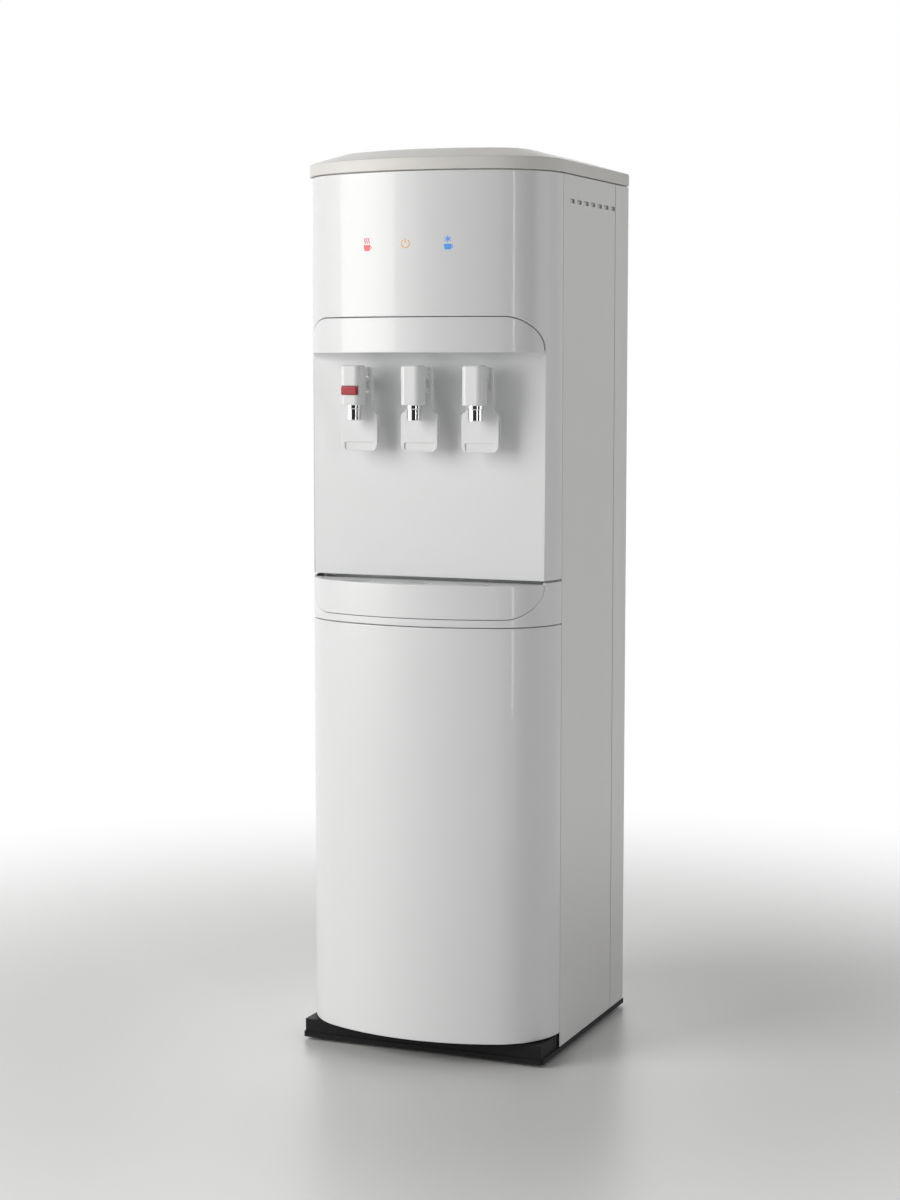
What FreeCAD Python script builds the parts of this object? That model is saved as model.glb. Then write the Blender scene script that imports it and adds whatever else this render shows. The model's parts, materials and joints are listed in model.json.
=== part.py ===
import FreeCAD, Part
import math
import os
from types import SimpleNamespace

import Sketcher
from FreeCAD import Vector

# A free-standing water cooler with its bottle behind a door at the bottom.
# X runs to the right, Y to the back and Z up. In the sketches Y is measured from the crest
# of the bowed front; each finished piece is then moved forward by half the whole depth.

doc = FreeCAD.newDocument("WaterCooler")
sheet = doc.addObject("Spreadsheet::Sheet", "Dims")
pieces = []


class Size:
    """A number together with the spreadsheet expression that gives it."""

    def __init__(self, number, text):
        self.number = float(number)
        self.text = text

    def __add__(self, other):
        other = as_size(other)
        return Size(self.number + other.number, f"({self.text} + {other.text})")

    def __sub__(self, other):
        other = as_size(other)
        return Size(self.number - other.number, f"({self.text} - {other.text})")

    def __mul__(self, other):
        other = as_size(other)
        return Size(self.number * other.number, f"({self.text} * {other.text})")

    def __truediv__(self, other):
        other = as_size(other)
        return Size(self.number / other.number, f"({self.text} / {other.text})")

    def __radd__(self, other):
        return as_size(other) + self

    def __rsub__(self, other):
        return as_size(other) - self

    def __rmul__(self, other):
        return as_size(other) * self

    def __neg__(self):
        return Size(-self.number, f"(-1 * {self.text})")


def as_size(value):
    return value if isinstance(value, Size) else Size(value, repr(float(value)))


def root(value):
    return Size(math.sqrt(value.number), f"sqrt({value.text})")


def sizes(group, **values):
    """Writes a group of named sizes into the sheet and hands them back."""
    named = SimpleNamespace()
    first = len(sizes.rows) + 1
    for row, (name, number) in enumerate(values.items(), first):
        alias = f"{group}_{name}"
        sizes.rows.append(alias)
        sheet.set(f"A{row}", alias.replace("_", " "))
        sheet.set(f"B{row}", str(number))
        sheet.setAlias(f"B{row}", alias)
    sheet.recompute()
    for name in values:
        alias = f"{group}_{name}"
        setattr(named, name, Size(sheet.get(alias), f"Dims.{alias}"))
    return named


sizes.rows = []


# ---------------------------------------------------------------- drawing helpers

def new_body(label, across=0, depth=0, height=0):
    """A body whose own origin stands at the given place in the cooler."""
    body = doc.addObject("PartDesign::Body", label)
    body.Label = label
    body.AllowCompound = True
    place = (("x", across), ("y", as_size(depth) - middle_depth), ("z", height))
    for axis, value in place:
        body.setExpression(f"Placement.Base.{axis}", as_size(value).text)
    pieces.append(body)
    return body


class Drawing:
    """The curves and constraints of one sketch, given to it all at once."""

    def __init__(self):
        self.curves = []
        self.rules = []
        self.bindings = []

    def curve(self, shape):
        self.curves.append(shape)
        return len(self.curves) - 1

    def rule(self, kind, *where, value):
        value = as_size(value)
        if "Dims" in value.text:
            self.bindings.append((len(self.rules), value.text))
        self.rules.append(Sketcher.Constraint(kind, *where, value.number))

    def fix_point(self, line, end, across, up):
        self.rule("DistanceX", -1, 1, line, end, value=across)
        self.rule("DistanceY", -1, 1, line, end, value=up)

    def join(self, before, stop, side, begin):
        self.rules.append(Sketcher.Constraint("Coincident", before, stop, side, begin))

    def hand_to(self, sketch):
        sketch.addGeometry(self.curves, False)
        sketch.addConstraint(self.rules)
        for number, text in self.bindings:
            sketch.setExpression(f"Constraints[{number}]", text)


def circle(across, up, radius):
    return ("circle", across, up, radius)


def rectangle(left, low, right, high):
    return [(left, low), (right, low), (right, high), (left, high)]


def draw_circle(drawing, across, up, radius):
    centre = Vector(as_size(across).number, as_size(up).number, 0)
    curve = drawing.curve(Part.Circle(centre, Vector(0, 0, 1), as_size(radius).number))
    drawing.fix_point(curve, 3, across, up)
    drawing.rule("Radius", curve, value=radius)


def draw_outline(drawing, points):
    """Draws a closed outline. A point is (across, up), or (across, up, radius, turn) where the
    side that follows it is an arc: turn is 1 for a counter-clockwise arc and -1 for clockwise."""
    ends = []
    for index, point in enumerate(points):
        following = points[(index + 1) % len(points)]
        start = Vector(as_size(point[0]).number, as_size(point[1]).number, 0)
        stop = Vector(as_size(following[0]).number, as_size(following[1]).number, 0)
        if len(point) == 2:
            side = drawing.curve(Part.LineSegment(start, stop))
            ends.append((side, 1, 2))
        else:
            radius, turn = point[2:]
            centre = arc_centre(start, stop, as_size(radius).number, turn)
            arc = Part.Circle(centre, Vector(0, 0, 1), as_size(radius).number)
            angles = [math.atan2(p.y - centre.y, p.x - centre.x) for p in (start, stop)]
            side = drawing.curve(Part.ArcOfCircle(arc, *angles[::turn]))
            ends.append((side, 1, 2) if turn == 1 else (side, 2, 1))
            drawing.rule("Radius", side, value=radius)
        drawing.fix_point(ends[-1][0], ends[-1][1], point[0], point[1])
    for (side, begin, finish), (before, start, stop) in zip(ends, ends[-1:] + ends[:-1]):
        drawing.join(before, stop, side, begin)


def arc_centre(start, stop, radius, turn):
    chord = stop - start
    rise = math.sqrt(max(radius ** 2 - (chord.Length / 2) ** 2, 0))
    left = Vector(-chord.y, chord.x, 0).normalize()
    return (start + stop) / 2 + left * rise * turn


def sketch_on(body, plane, level, loops):
    """A sketch on one of the body's own planes, moved along the plane's axis to a level."""
    sketch = body.newObject("Sketcher::SketchObject", f"{body.Name}_sketch")
    flat = [item for item in body.Origin.OriginFeatures if item.Role == f"{plane}_Plane"][0]
    sketch.AttachmentSupport = [(flat, "")]
    sketch.MapMode = "FlatFace"
    level = as_size(level)
    if plane == "XZ":
        level = -level
    sketch.setExpression("AttachmentOffset.Base.z", level.text)
    drawing = Drawing()
    for loop in loops:
        if loop[0] == "circle":
            draw_circle(drawing, *loop[1:])
        else:
            draw_outline(drawing, loop)
    drawing.hand_to(sketch)
    return sketch


def prism(body, kind, plane, low, high, loops):
    sketch = sketch_on(body, plane, low, loops)
    feature = body.newObject(f"PartDesign::{kind}", f"{body.Name}_{kind.lower()}")
    feature.Profile = sketch
    feature.setExpression("Length", (as_size(high) - as_size(low)).text)
    feature.Reversed = (plane == "XZ") == (kind == "Pad")
    return feature


def add(body, plane, low, high, *loops):
    return prism(body, "Pad", plane, low, high, loops)


def cut(body, plane, low, high, *loops):
    return prism(body, "Pocket", plane, low, high, loops)


def repeated(body, feature, axis, pitch, count):
    """Repeats a feature in a straight row along its sketch's H_Axis or V_Axis."""
    row = body.newObject("PartDesign::LinearPattern", f"{body.Name}_row")
    row.Originals = [feature]
    row.Direction = (feature.Profile[0], [axis])
    row.setExpression("Length", (pitch * (count - 1)).text)
    row.setExpression("Occurrences", as_size(count).text)
    body.Tip = row


def turned(body, kind, *loops):
    """A turned form: the half profile stands on the XZ plane and goes round the body's Z axis."""
    sketch = sketch_on(body, "XZ", 0, loops)
    feature = body.newObject(f"PartDesign::{kind}", f"{body.Name}_{kind.lower()}")
    feature.Profile = sketch
    feature.ReferenceAxis = (sketch, ["V_Axis"])
    feature.Angle = 360
    return feature


def wound(body, radius, low, wire, pitch, rise):
    """One unbroken wire wound round the body's Z axis."""
    sketch = sketch_on(body, "XZ", 0, [circle(radius, low, wire)])
    feature = body.newObject("PartDesign::AdditiveHelix", f"{body.Name}_helix")
    feature.Profile = sketch
    feature.ReferenceAxis = (sketch, ["V_Axis"])
    feature.Mode = "pitch-height-angle"
    feature.setExpression("Pitch", pitch.text)
    feature.setExpression("Height", rise.text)
    print(f"{body.Label}: least gap between turns {(pitch - wire * 2).number:.1f} mm")


def loft(body, kind, low, low_loop, high, high_loop):
    lower = sketch_on(body, "XY", low, [low_loop])
    upper = sketch_on(body, "XY", high, [high_loop])
    feature = body.newObject(f"PartDesign::{kind}", f"{body.Name}_loft")
    feature.Profile = lower
    feature.Sections = [upper]


def round_edges(body, radius, wanted):
    """Rounds the edges for which wanted(edge) is true."""
    doc.recompute()
    base = body.Tip
    edges = base.Shape.Edges
    names = [f"Edge{n}" for n, edge in enumerate(edges, 1) if wanted(edge)]
    feature = body.newObject("PartDesign::Fillet", f"{body.Name}_fillet")
    feature.Base = (base, names)
    feature.setExpression("Radius", as_size(radius).text)


def is_upright(edge):
    box = edge.BoundBox
    return box.ZLength > 1 and box.XLength < 0.01 and box.YLength < 0.01


def near(value, size):
    return abs(value - as_size(size).number) < 0.05


def shape_piece(label, shape):
    """A piece whose form comes from Part functions that read the sheet."""
    piece = doc.addObject("Part::Feature", label)
    piece.Label = label
    piece.Shape = shape
    piece.setExpression("Placement.Base.y", (-middle_depth).text)
    pieces.append(piece)


def bent_tube(points, bend, radius):
    """A round tube along straight runs that are joined by bends."""
    places = [Vector(*[as_size(value).number for value in point]) for point in points]
    bend = as_size(bend).number
    radius = as_size(radius).number
    edges = []
    start = places[0]
    for before, corner, after in zip(places, places[1:], places[2:]):
        back = (before - corner).normalize()
        ahead = (after - corner).normalize()
        half_angle = back.getAngle(ahead) / 2
        leg = bend / math.tan(half_angle)
        centre = corner + (back + ahead).normalize() * (bend / math.sin(half_angle))
        middle = centre + (corner - centre).normalize() * bend
        entry = corner + back * leg
        leave = corner + ahead * leg
        edges.append(Part.makeLine(start, entry))
        edges.append(Part.Arc(entry, middle, leave).toShape())
        start = leave
    edges.append(Part.makeLine(start, places[-1]))
    first = (places[1] - places[0]).normalize()
    ring = Part.Wire(Part.makeCircle(radius, places[0], first))
    return Part.Wire(edges).makePipeShell([ring], True, False)


# ---------------------------------------------------------------- the plan of the casing

shell = sizes("shell", width=310, depth=333, bow_radius=270, corner_radius=82, top=1032,
              wall=2.8, seam=0.8, gauge=1, joint=0.4)
lid = sizes("lid", overhang=2.5, seam=1, rim=14, rise=14, inset=42, wall=2.6, rear_round=14,
            edge_round=9, seat=4)
bay = sizes("bay", half_width=147, top=869, header_bottom=828, wall_depth=62, seam=566,
            tray_bottom=524, tray_top=563, corner=36, wall=2.5, ceiling_round=10,
            parting=1.1)
door = sizes("door", bottom=28, top=514.5, hinge_inset=7, hinge_depth=90, pin=3, boss=6.4,
             fit=0.06, liner_inset=14, liner_wall=2, flange=2, seam=0.8)
coil = sizes("coil", standoff=20.3, tube=2.6, wire=0.9, passes=12, half_width=128, bend=14,
             low=610, wires=18)

half_width = shell.width / 2
corner_x = half_width - shell.corner_radius
bow_reach = shell.bow_radius - shell.corner_radius
corner_y = shell.bow_radius - root(bow_reach * bow_reach - corner_x * corner_x)
coil_depth = shell.depth + coil.standoff
rear_most = coil_depth + coil.tube + coil.wire * 1.8
middle_depth = (rear_most - lid.overhang) / 2


def bow_y(inset, across):
    """Depth of the bowed front, at an inset from its skin and a distance from the middle."""
    radius = shell.bow_radius - inset
    return shell.bow_radius - root(radius * radius - as_size(across) * across)


def side_y(inset, across):
    """Depth at which the front corner's arc is this far from the middle."""
    radius = shell.corner_radius - inset
    run = across - corner_x
    return corner_y - root(radius * radius - run * run)


def front_line(inset, across=None):
    """The plan of the front: corner arc, bow, corner arc, from left to right."""
    inset = as_size(inset)
    side = corner_y if across is None else side_y(inset, across)
    across = half_width - inset if across is None else across
    share = (shell.bow_radius - inset) / bow_reach
    meet_x = corner_x * share
    meet_y = shell.bow_radius - (shell.bow_radius - corner_y) * share
    bow = shell.bow_radius - inset
    corner = shell.corner_radius - inset
    return [(-across, side, corner, 1), (-meet_x, meet_y, bow, 1),
            (meet_x, meet_y, corner, 1), (across, side)]


def back_along(line):
    """The same line walked the other way."""
    turned_line = []
    for point, before in zip(line[::-1], line[-2::-1] + [None]):
        arc = (before[2], -before[3]) if before and len(before) == 4 else ()
        turned_line.append(point[:2] + arc)
    return turned_line


def skin(outer, inner):
    """A strip of the front between two insets, open at the back."""
    return front_line(outer) + back_along(front_line(inner))


def filled(inset, across, depth):
    """The area behind the front line, cut off square at a half width and a depth."""
    return front_line(inset, across) + [(across, depth), (-across, depth)]


def arch(half, low, high, radius):
    """A front view of the bay: square at the bottom, rounded at the top."""
    return [(-half, low), (half, low), (half, high - radius, radius, 1), (half - radius, high),
            (radius - half, high, radius, 1), (-half, high - radius)]


def cradle(half, low, high, radius):
    """A front view of the tray: rounded at the bottom, square at the top."""
    return [(-half, high), (-half, low + radius, radius, 1), (radius - half, low),
            (half - radius, low, radius, 1), (half, low + radius), (half, high)]


def all_round(half, low, high):
    """A rectangle well outside the casing, for trimming to an outline."""
    return rectangle(-half - 40, low - 60, half + 40, high + 60)


def lugs(body, heights):
    """Blocks inside the skin that meet the front frame."""
    for height in heights:
        for side in (-1, 1):
            near_edge = (half_width - shell.wall + 0.5) * side
            far_edge = (half_width - frame.lug) * side
            block = rectangle(near_edge, corner_y - 4, far_edge, frame_front)
            add(body, "XY", height, height + 12, block)


frame = sizes("frame", gap=3.8, gauge=1.2, lug=14, opening=139.5, lip=10, side_gap=0.2,
              rail=20, head=18)
frame_front = corner_y + frame.gap
frame_back = frame_front + frame.gauge

# ---------------------------------------------------------------- casing, from the top down

top_cover = new_body("top_cover")
lid_low = shell.top + lid.seam
lid_break = lid_low + lid.rim
lid_back = shell.depth + lid.overhang
add(top_cover, "XY", lid_low, lid_break,
    filled(-lid.overhang, half_width + lid.overhang - 0.01, lid_back))
round_edges(top_cover, lid.rear_round,
            lambda edge: is_upright(edge) and near(edge.BoundBox.YMax, lid_back))
slope_back = lid_back - lid.inset
loft(top_cover, "AdditiveLoft", lid_break,
     filled(-lid.overhang + 2, half_width + lid.overhang - 2.01, lid_back - 2),
     lid_break + lid.rise,
     filled(lid.inset, half_width - lid.inset - 0.01, slope_back))
round_edges(top_cover, lid.edge_round,
            lambda edge: near(edge.BoundBox.ZMin, lid_break + lid.rise))
seat_inset = shell.wall + lid.seat
cut(top_cover, "XY", lid_low, lid_break,
    filled(lid.wall, half_width - lid.wall - 0.01, lid_back - lid.wall * 2))
loft(top_cover, "SubtractiveLoft", lid_break,
     filled(lid.wall + 2, half_width - lid.wall - 2.01, lid_back - lid.wall * 2 - 2),
     lid_break + lid.rise - lid.wall,
     filled(lid.inset + lid.wall, half_width - lid.inset - lid.wall - 0.01,
            slope_back - lid.wall))
add(top_cover, "XY", shell.top, lid_low + 1,
    filled(shell.wall, half_width - shell.wall - 0.01, shell.depth - shell.gauge * 3),
    filled(seat_inset, half_width - seat_inset - 0.01, shell.depth - shell.gauge * 3 - lid.seat))

lights = sizes("lights", height=951, spread=50, lens=4.4, hole=4.6, proud=0.4, board=13.6,
               flange=6.2)
upper = new_body("upper_front_housing")
upper_low = bay.seam + bay.parting
add(upper, "XY", upper_low, shell.top, skin(0, shell.wall))
add(upper, "XY", shell.top - shell.wall, shell.top, skin(shell.wall - 0.5, frame.lug))
cut(upper, "XZ", -1, frame_front,
    arch(bay.half_width, upper_low - 5, bay.top, bay.corner))
lugs(upper, (bay.seam + 14, bay.top - 60, bay.top + 60))
for side in (-1, 1):
    post = lights.spread * 1.3 * side
    add(upper, "XZ", bow_y(shell.wall / 2, post), lights.board,
        circle(post, lights.height, shell.wall))
cut(upper, "XZ", -1, lights.board - 1,
    *[circle(lights.spread * side, lights.height, lights.hole) for side in (-1, 0, 1)])

taps = sizes("taps", spacing=76, front=10, depth=24, width=25, low=768, high=814, edge=4,
             shank=8.5, shank_height=792, shank_end=79, bore=3.5, outlet_depth=24, chamber=8,
             top_wall=2.5, seat_low=783, seat_high=787, seat_hole=3.4, pin_depth=40,
             pin_height=806.5, pin=2.2, fit=0.06, lug_inner=6.5, lug_outer=12, hole_gap=0.3,
             nut=13, nut_depth=6)
tap_places = [taps.spacing * side for side in (-1, 0, 1)]

panel = new_body("dispensing_panel")
panel_half = bay.half_width - shell.seam
wall_back = bay.wall_depth + bay.wall
ceiling_top = bay.header_bottom + bay.wall
add(panel, "XY", bay.header_bottom, bay.top, skin(0, bay.wall))
add(panel, "XY", bay.header_bottom, ceiling_top, filled(0, panel_half, wall_back))
add(panel, "XZ", bay.wall_depth, wall_back,
    rectangle(-panel_half, upper_low, panel_half, ceiling_top))
cut(panel, "XZ", -1, frame_front, all_round(panel_half, bay.seam, bay.top),
    arch(panel_half, bay.seam - 20, bay.top - shell.seam, bay.corner - shell.seam))
round_edges(panel, bay.ceiling_round,
            lambda edge: near(edge.BoundBox.YMax, bay.wall_depth)
            and near(edge.BoundBox.YMin, bay.wall_depth)
            and near(edge.BoundBox.ZMax, bay.header_bottom)
            and edge.BoundBox.ZLength < 0.1)
cut(panel, "XZ", bay.wall_depth - 1, wall_back + 1,
    *[circle(place, taps.shank_height, taps.shank + taps.hole_gap) for place in tap_places])

tray = sizes("tray", side_gap=0.8, back_gap=0.8, low_gap=0.8, wall=2.6, ledge=3.4, floor=2.8,
             end=6.6, step_end=12.2, step=545, well=108, grille=2.5, grille_gap=0.3,
             rail_in=60, rail_width=4, slot=3.2, slot_length=24, slot_pitch=6.2, slots=5,
             shelf=2.5, travel=80)
surround = new_body("tray_surround")
surround_low = door.top + door.seam
surround_high = bay.seam - bay.parting
shelf_top = bay.tray_bottom
add(surround, "XY", surround_low, surround_high, skin(0, shell.wall))
add(surround, "XY", shelf_top - tray.shelf, shelf_top, front_line(shell.wall - 0.5))
cut(surround, "XZ", -1, frame_front,
    cradle(bay.half_width, bay.tray_bottom, surround_high + 5, bay.corner))
add(surround, "XZ", bay.wall_depth, wall_back,
    rectangle(-panel_half + 1, shelf_top - 1, panel_half - 1, bay.tray_top))
hinge_x = door.hinge_inset - half_width
add(surround, "XY", door.top + 0.3, shelf_top,
    circle(hinge_x, door.hinge_depth, door.boss))
lugs(surround, (shelf_top - 1, bay.seam - 16))
cut(surround, "XY", door.top - 1, shelf_top + 1,
    circle(hinge_x, door.hinge_depth, door.pin + 0.02))

drip_tray = new_body("drip_tray")
tray_half = bay.half_width - tray.side_gap
tray_back = bay.wall_depth - tray.back_gap
tray_low = bay.tray_bottom + tray.low_gap
grille_low = bay.tray_top - tray.grille
add(drip_tray, "XY", tray_low, bay.tray_top, filled(0, tray_half, tray_back))
cut(drip_tray, "XZ", -1, tray_back + 1, all_round(tray_half, tray_low, bay.tray_top),
    cradle(tray_half, tray_low, bay.tray_top + 20, bay.corner - tray.side_gap))
cut(drip_tray, "XY", grille_low, bay.tray_top + 1,
    filled(tray.wall, tray_half - tray.end, tray_back - tray.wall))
well_inset = tray.wall + tray.ledge
cut(drip_tray, "XY", tray.step, grille_low + 1,
    filled(well_inset, tray_half - tray.step_end, tray_back - well_inset))
cut(drip_tray, "XY", tray_low + tray.floor, tray.step + 1,
    filled(well_inset, tray.well, tray_back - well_inset))
for side in (-1, 1):
    add(drip_tray, "XY", shelf_top, tray_low + 1,
        rectangle(tray.rail_in * side, 16, (tray.rail_in + tray.rail_width) * side,
                  tray_back - 2))

grille = new_body("drip_grille")
grille_edge = tray.wall + tray.grille_gap
add(grille, "XY", grille_low, bay.tray_top,
    filled(grille_edge, tray_half - tray.end - tray.grille_gap, tray_back - grille_edge))
slot_from = taps.outlet_depth + 2 - tray.slot_length / 2
slot_back = tray.slot_pitch * (tray.slots - 1) / 2 + tray.slot / 2
first_slots = cut(grille, "XY", grille_low - 1, bay.tray_top + 1,
                  *[rectangle(place - slot_back, slot_from,
                              place - slot_back + tray.slot, slot_from + tray.slot_length)
                    for place in tap_places])
repeated(grille, first_slots, "H_Axis", tray.slot_pitch, tray.slots)

door_shell = new_body("door_shell")
flange_in = shell.wall + door.liner_inset * 0.5
add(door_shell, "XY", door.bottom, door.top, skin(0, shell.wall))
for low in (door.bottom, door.top - door.flange):
    add(door_shell, "XY", low, low + door.flange, skin(shell.wall - 0.5, flange_in))
for low in (door.bottom, door.top - 14):
    add(door_shell, "XY", low, low + 14, circle(hinge_x, door.hinge_depth, door.boss))
cut(door_shell, "XY", door.bottom - 1, door.top + 1,
    circle(hinge_x, door.hinge_depth, door.pin + door.fit))

liner = new_body("door_liner")
liner_low = door.bottom + door.flange
liner_high = door.top - door.flange
liner_outer = door.liner_inset
add(liner, "XY", liner_low, liner_high, skin(liner_outer, liner_outer + door.liner_wall))
for low in (liner_low, liner_high - door.flange):
    add(liner, "XY", low, low + door.flange, skin(shell.wall + 0.2, liner_outer + 0.5))
for side in (-1, 1):
    add(liner, "XY", liner_low, liner_high,
        rectangle((half_width - liner_outer - 0.5) * side, corner_y - 4,
                  (half_width - shell.wall - 0.4) * side, corner_y - 2))
boss_room = door.boss + 0.4
cut(liner, "XY", liner_low - 1, door.bottom + 14.5,
    rectangle(hinge_x - 12, door.hinge_depth - boss_room, hinge_x + boss_room, corner_y + 1))
cut(liner, "XY", door.top - 14.5, liner_high + 1,
    rectangle(hinge_x - 12, door.hinge_depth - boss_room, hinge_x + boss_room, corner_y + 1))

pins = new_body("door_hinge_pins")
add(pins, "XY", door.bottom - 14, door.bottom + 13, circle(hinge_x, door.hinge_depth, door.pin))
add(pins, "XY", door.top - 13, shelf_top, circle(hinge_x, door.hinge_depth, door.pin))

# ---------------------------------------------------------------- carcass

plinth = sizes("plinth", front=40, flange=10, top=26, wall=3, deck=4, rib=2.4, edge=4,
               foot=15, foot_thick=4, stem=4, boss=8, foot_in=26, fit=0.04)
base = new_body("base_plinth")
inner_half = half_width - (shell.gauge + shell.joint) * 2
add(base, "XY", plinth.foot_thick, plinth.flange,
    rectangle(-half_width, plinth.front, half_width, shell.depth))
round_edges(base, plinth.edge,
            lambda edge: is_upright(edge) and near(edge.BoundBox.YMin, plinth.front))
back_edge = shell.depth - shell.gauge - 0.2
add(base, "XY", plinth.foot_thick + 1, plinth.top,
    rectangle(-inner_half, plinth.front + 1.5, inner_half, back_edge))
cut(base, "XY", plinth.foot_thick, plinth.top - plinth.deck,
    rectangle(-inner_half + plinth.wall, plinth.front + plinth.wall + 1.5,
              inner_half - plinth.wall, back_edge - plinth.wall))
for share in (-0.5, 0, 0.5):
    middle = inner_half * share
    add(base, "XY", plinth.foot_thick + 2, plinth.top - 1,
        rectangle(middle - plinth.rib / 2, plinth.front + 2, middle + plinth.rib / 2,
                  back_edge - 1))
for share in (0.25, 0.5, 0.75):
    middle = plinth.front + (back_edge - plinth.front) * share
    add(base, "XY", plinth.foot_thick + 2, plinth.top - 1,
        rectangle(1 - inner_half, middle - plinth.rib / 2, inner_half - 1,
                  middle + plinth.rib / 2))
foot_places = [(side * (half_width - plinth.foot_in), depth)
               for side in (-1, 1)
               for depth in (plinth.front + plinth.foot_in, shell.depth - plinth.foot_in)]
add(base, "XY", plinth.foot_thick, plinth.top - 1,
    *[circle(across, depth, plinth.boss) for across, depth in foot_places])
add(base, "XY", plinth.top - 1, door.bottom, circle(hinge_x, door.hinge_depth, door.boss))
add(base, "XY", plinth.foot_thick + 4, plinth.top - 1,
    circle(hinge_x, door.hinge_depth, door.boss))
cut(base, "XY", door.bottom - 14, door.bottom + 1,
    circle(hinge_x, door.hinge_depth, door.pin + 0.02))
cut(base, "XY", plinth.foot_thick - 1, plinth.foot_thick + 10,
    *[circle(across, depth, plinth.stem + plinth.fit) for across, depth in foot_places])

feet = new_body("rubber_feet")
add(feet, "XY", 0, plinth.foot_thick,
    *[circle(across, depth, plinth.foot) for across, depth in foot_places])
add(feet, "XY", plinth.foot_thick, plinth.foot_thick + 8,
    *[circle(across, depth, plinth.stem) for across, depth in foot_places])
round_edges(feet, 1.2, lambda edge: near(edge.BoundBox.ZMax, 0))

front_frame = new_body("front_frame")
frame_half = half_width - shell.gauge - frame.side_gap
add(front_frame, "XZ", frame_front, frame_back,
    rectangle(-frame_half, plinth.top, frame_half, shell.top - shell.wall - 0.2))
cut(front_frame, "XZ", frame_front - 1, frame_back + 1,
    rectangle(-frame.opening, plinth.top - 1, frame.opening, surround_low),
    rectangle(-frame.opening, bay.seam + frame.rail, frame.opening, shell.top - frame.head))
for side in (-1, 1):
    add(front_frame, "XY", plinth.top, shell.top - shell.wall - 1,
        rectangle(frame_half * side, frame_front, (frame_half - frame.gauge) * side,
                  frame_back + frame.lip))
for level in (surround_low, bay.seam + frame.rail - frame.gauge):
    add(front_frame, "XY", level, level + frame.gauge,
        rectangle(-frame.opening, frame_back - 0.2, frame.opening, frame_back + frame.lip))

sides = sizes("sides", low=10.3, front_gap=0.8, rear_wrap=52, lip=10, jog=0.7, flange=12, vents=7,
              vent_height=1000, vent_length=17, vent_width=4.5, vent_pitch=24, vent_start=118)
wrap_start = shell.depth - sides.rear_wrap
seam_y = wrap_start - shell.seam


def side_panel(label, side):
    panel_body = new_body(label)
    outer = half_width * side
    inner = (half_width - shell.gauge) * side
    tucked = (half_width - shell.gauge - shell.joint) * side
    tucked_in = (half_width - shell.gauge * 2 - shell.joint) * side
    front = corner_y + sides.front_gap
    add(panel_body, "XY", sides.low, shell.top,
        [(outer, front), (outer, seam_y), (tucked, seam_y + sides.jog),
         (tucked, seam_y + sides.lip), (tucked_in, seam_y + sides.lip), (tucked_in, seam_y),
         (inner, seam_y - sides.jog - 0.2), (inner, front)])
    add(panel_body, "XY", shell.top - shell.gauge, shell.top,
        rectangle((half_width - 0.5) * side, front + 4, (half_width - sides.flange) * side,
                  seam_y - 2))
    low, high = sorted((inner - side, outer + side), key=lambda size: size.number)
    vent = cut(panel_body, "YZ", low, high,
               rectangle(sides.vent_start, sides.vent_height,
                         sides.vent_start + sides.vent_length,
                         sides.vent_height + sides.vent_width))
    repeated(panel_body, vent, "H_Axis", sides.vent_pitch, sides.vents)


side_panel("left_side_panel", -1)
side_panel("right_side_panel", 1)

back = sizes("back", vent_length=34, vent_width=4, vent_pitch=11, vent_rows=9, low_vents=70,
             screw_across=120, screw=1.9, screw_head=4.2, screw_fit=0.06, drain_height=586,
             drain_across=-60, drain=7, drain_cap=11, drain_out=14, switch_across=100,
             switch_height=990, switch_width=24, switch_tall=30, gland_across=110,
             gland_height=66, gland=7, cord=4, pivot_in=4, pivot=1.4, pivot_fit=0.1)
deck = sizes("deck", height=558, gauge=1.2, flange=14, shelf=824)
shelf_front = frame_back + frame.lip + shell.joint
rear = new_body("rear_cover")
rear_inner = shell.depth - shell.gauge
add(rear, "XY", sides.low, shell.top,
    [(-half_width, wrap_start), (-half_width, shell.depth), (half_width, shell.depth),
     (half_width, wrap_start), (half_width - shell.gauge, wrap_start),
     (half_width - shell.gauge, rear_inner), (shell.gauge - half_width, rear_inner),
     (shell.gauge - half_width, wrap_start)])
vent_lefts = [(back.vent_length + 14) * column - back.vent_length / 2
              for column in (-1.5, -0.5, 0.5, 1.5)]
vent_row = cut(rear, "XZ", rear_inner - 1, shell.depth + 1,
               *[rectangle(left, back.low_vents, left + back.vent_length,
                           back.low_vents + back.vent_width) for left in vent_lefts])
repeated(rear, vent_row, "V_Axis", back.vent_pitch, back.vent_rows)
screw_heights = [plinth.top - 8, deck.height - deck.flange / 2, deck.shelf - deck.flange / 2]
screw_places = [(back.screw_across * side, height)
                for side in (-1, 1) for height in screw_heights]
cut(rear, "XZ", rear_inner - 1, shell.depth + 1,
    circle(back.drain_across, back.drain_height, back.drain + 0.3),
    circle(back.gland_across, back.gland_height, back.gland + 0.3),
    rectangle(back.switch_across - back.switch_width, back.switch_height - back.switch_tall / 2,
              back.switch_across + back.switch_width, back.switch_height + back.switch_tall / 2),
    *[circle(*place, back.screw + back.screw_fit) for place in screw_places])

screws = new_body("rear_screws")
add(screws, "XZ", rear_inner - 3, shell.depth, *[circle(*place, back.screw)
                                                   for place in screw_places])
add(screws, "XZ", shell.depth, shell.depth + 2, *[circle(*place, back.screw_head)
                                                   for place in screw_places])
cut(base, "XZ", back_edge - 6, back_edge + 1,
    *[circle(*place, back.screw + back.screw_fit) for place in screw_places[::3]])


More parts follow.
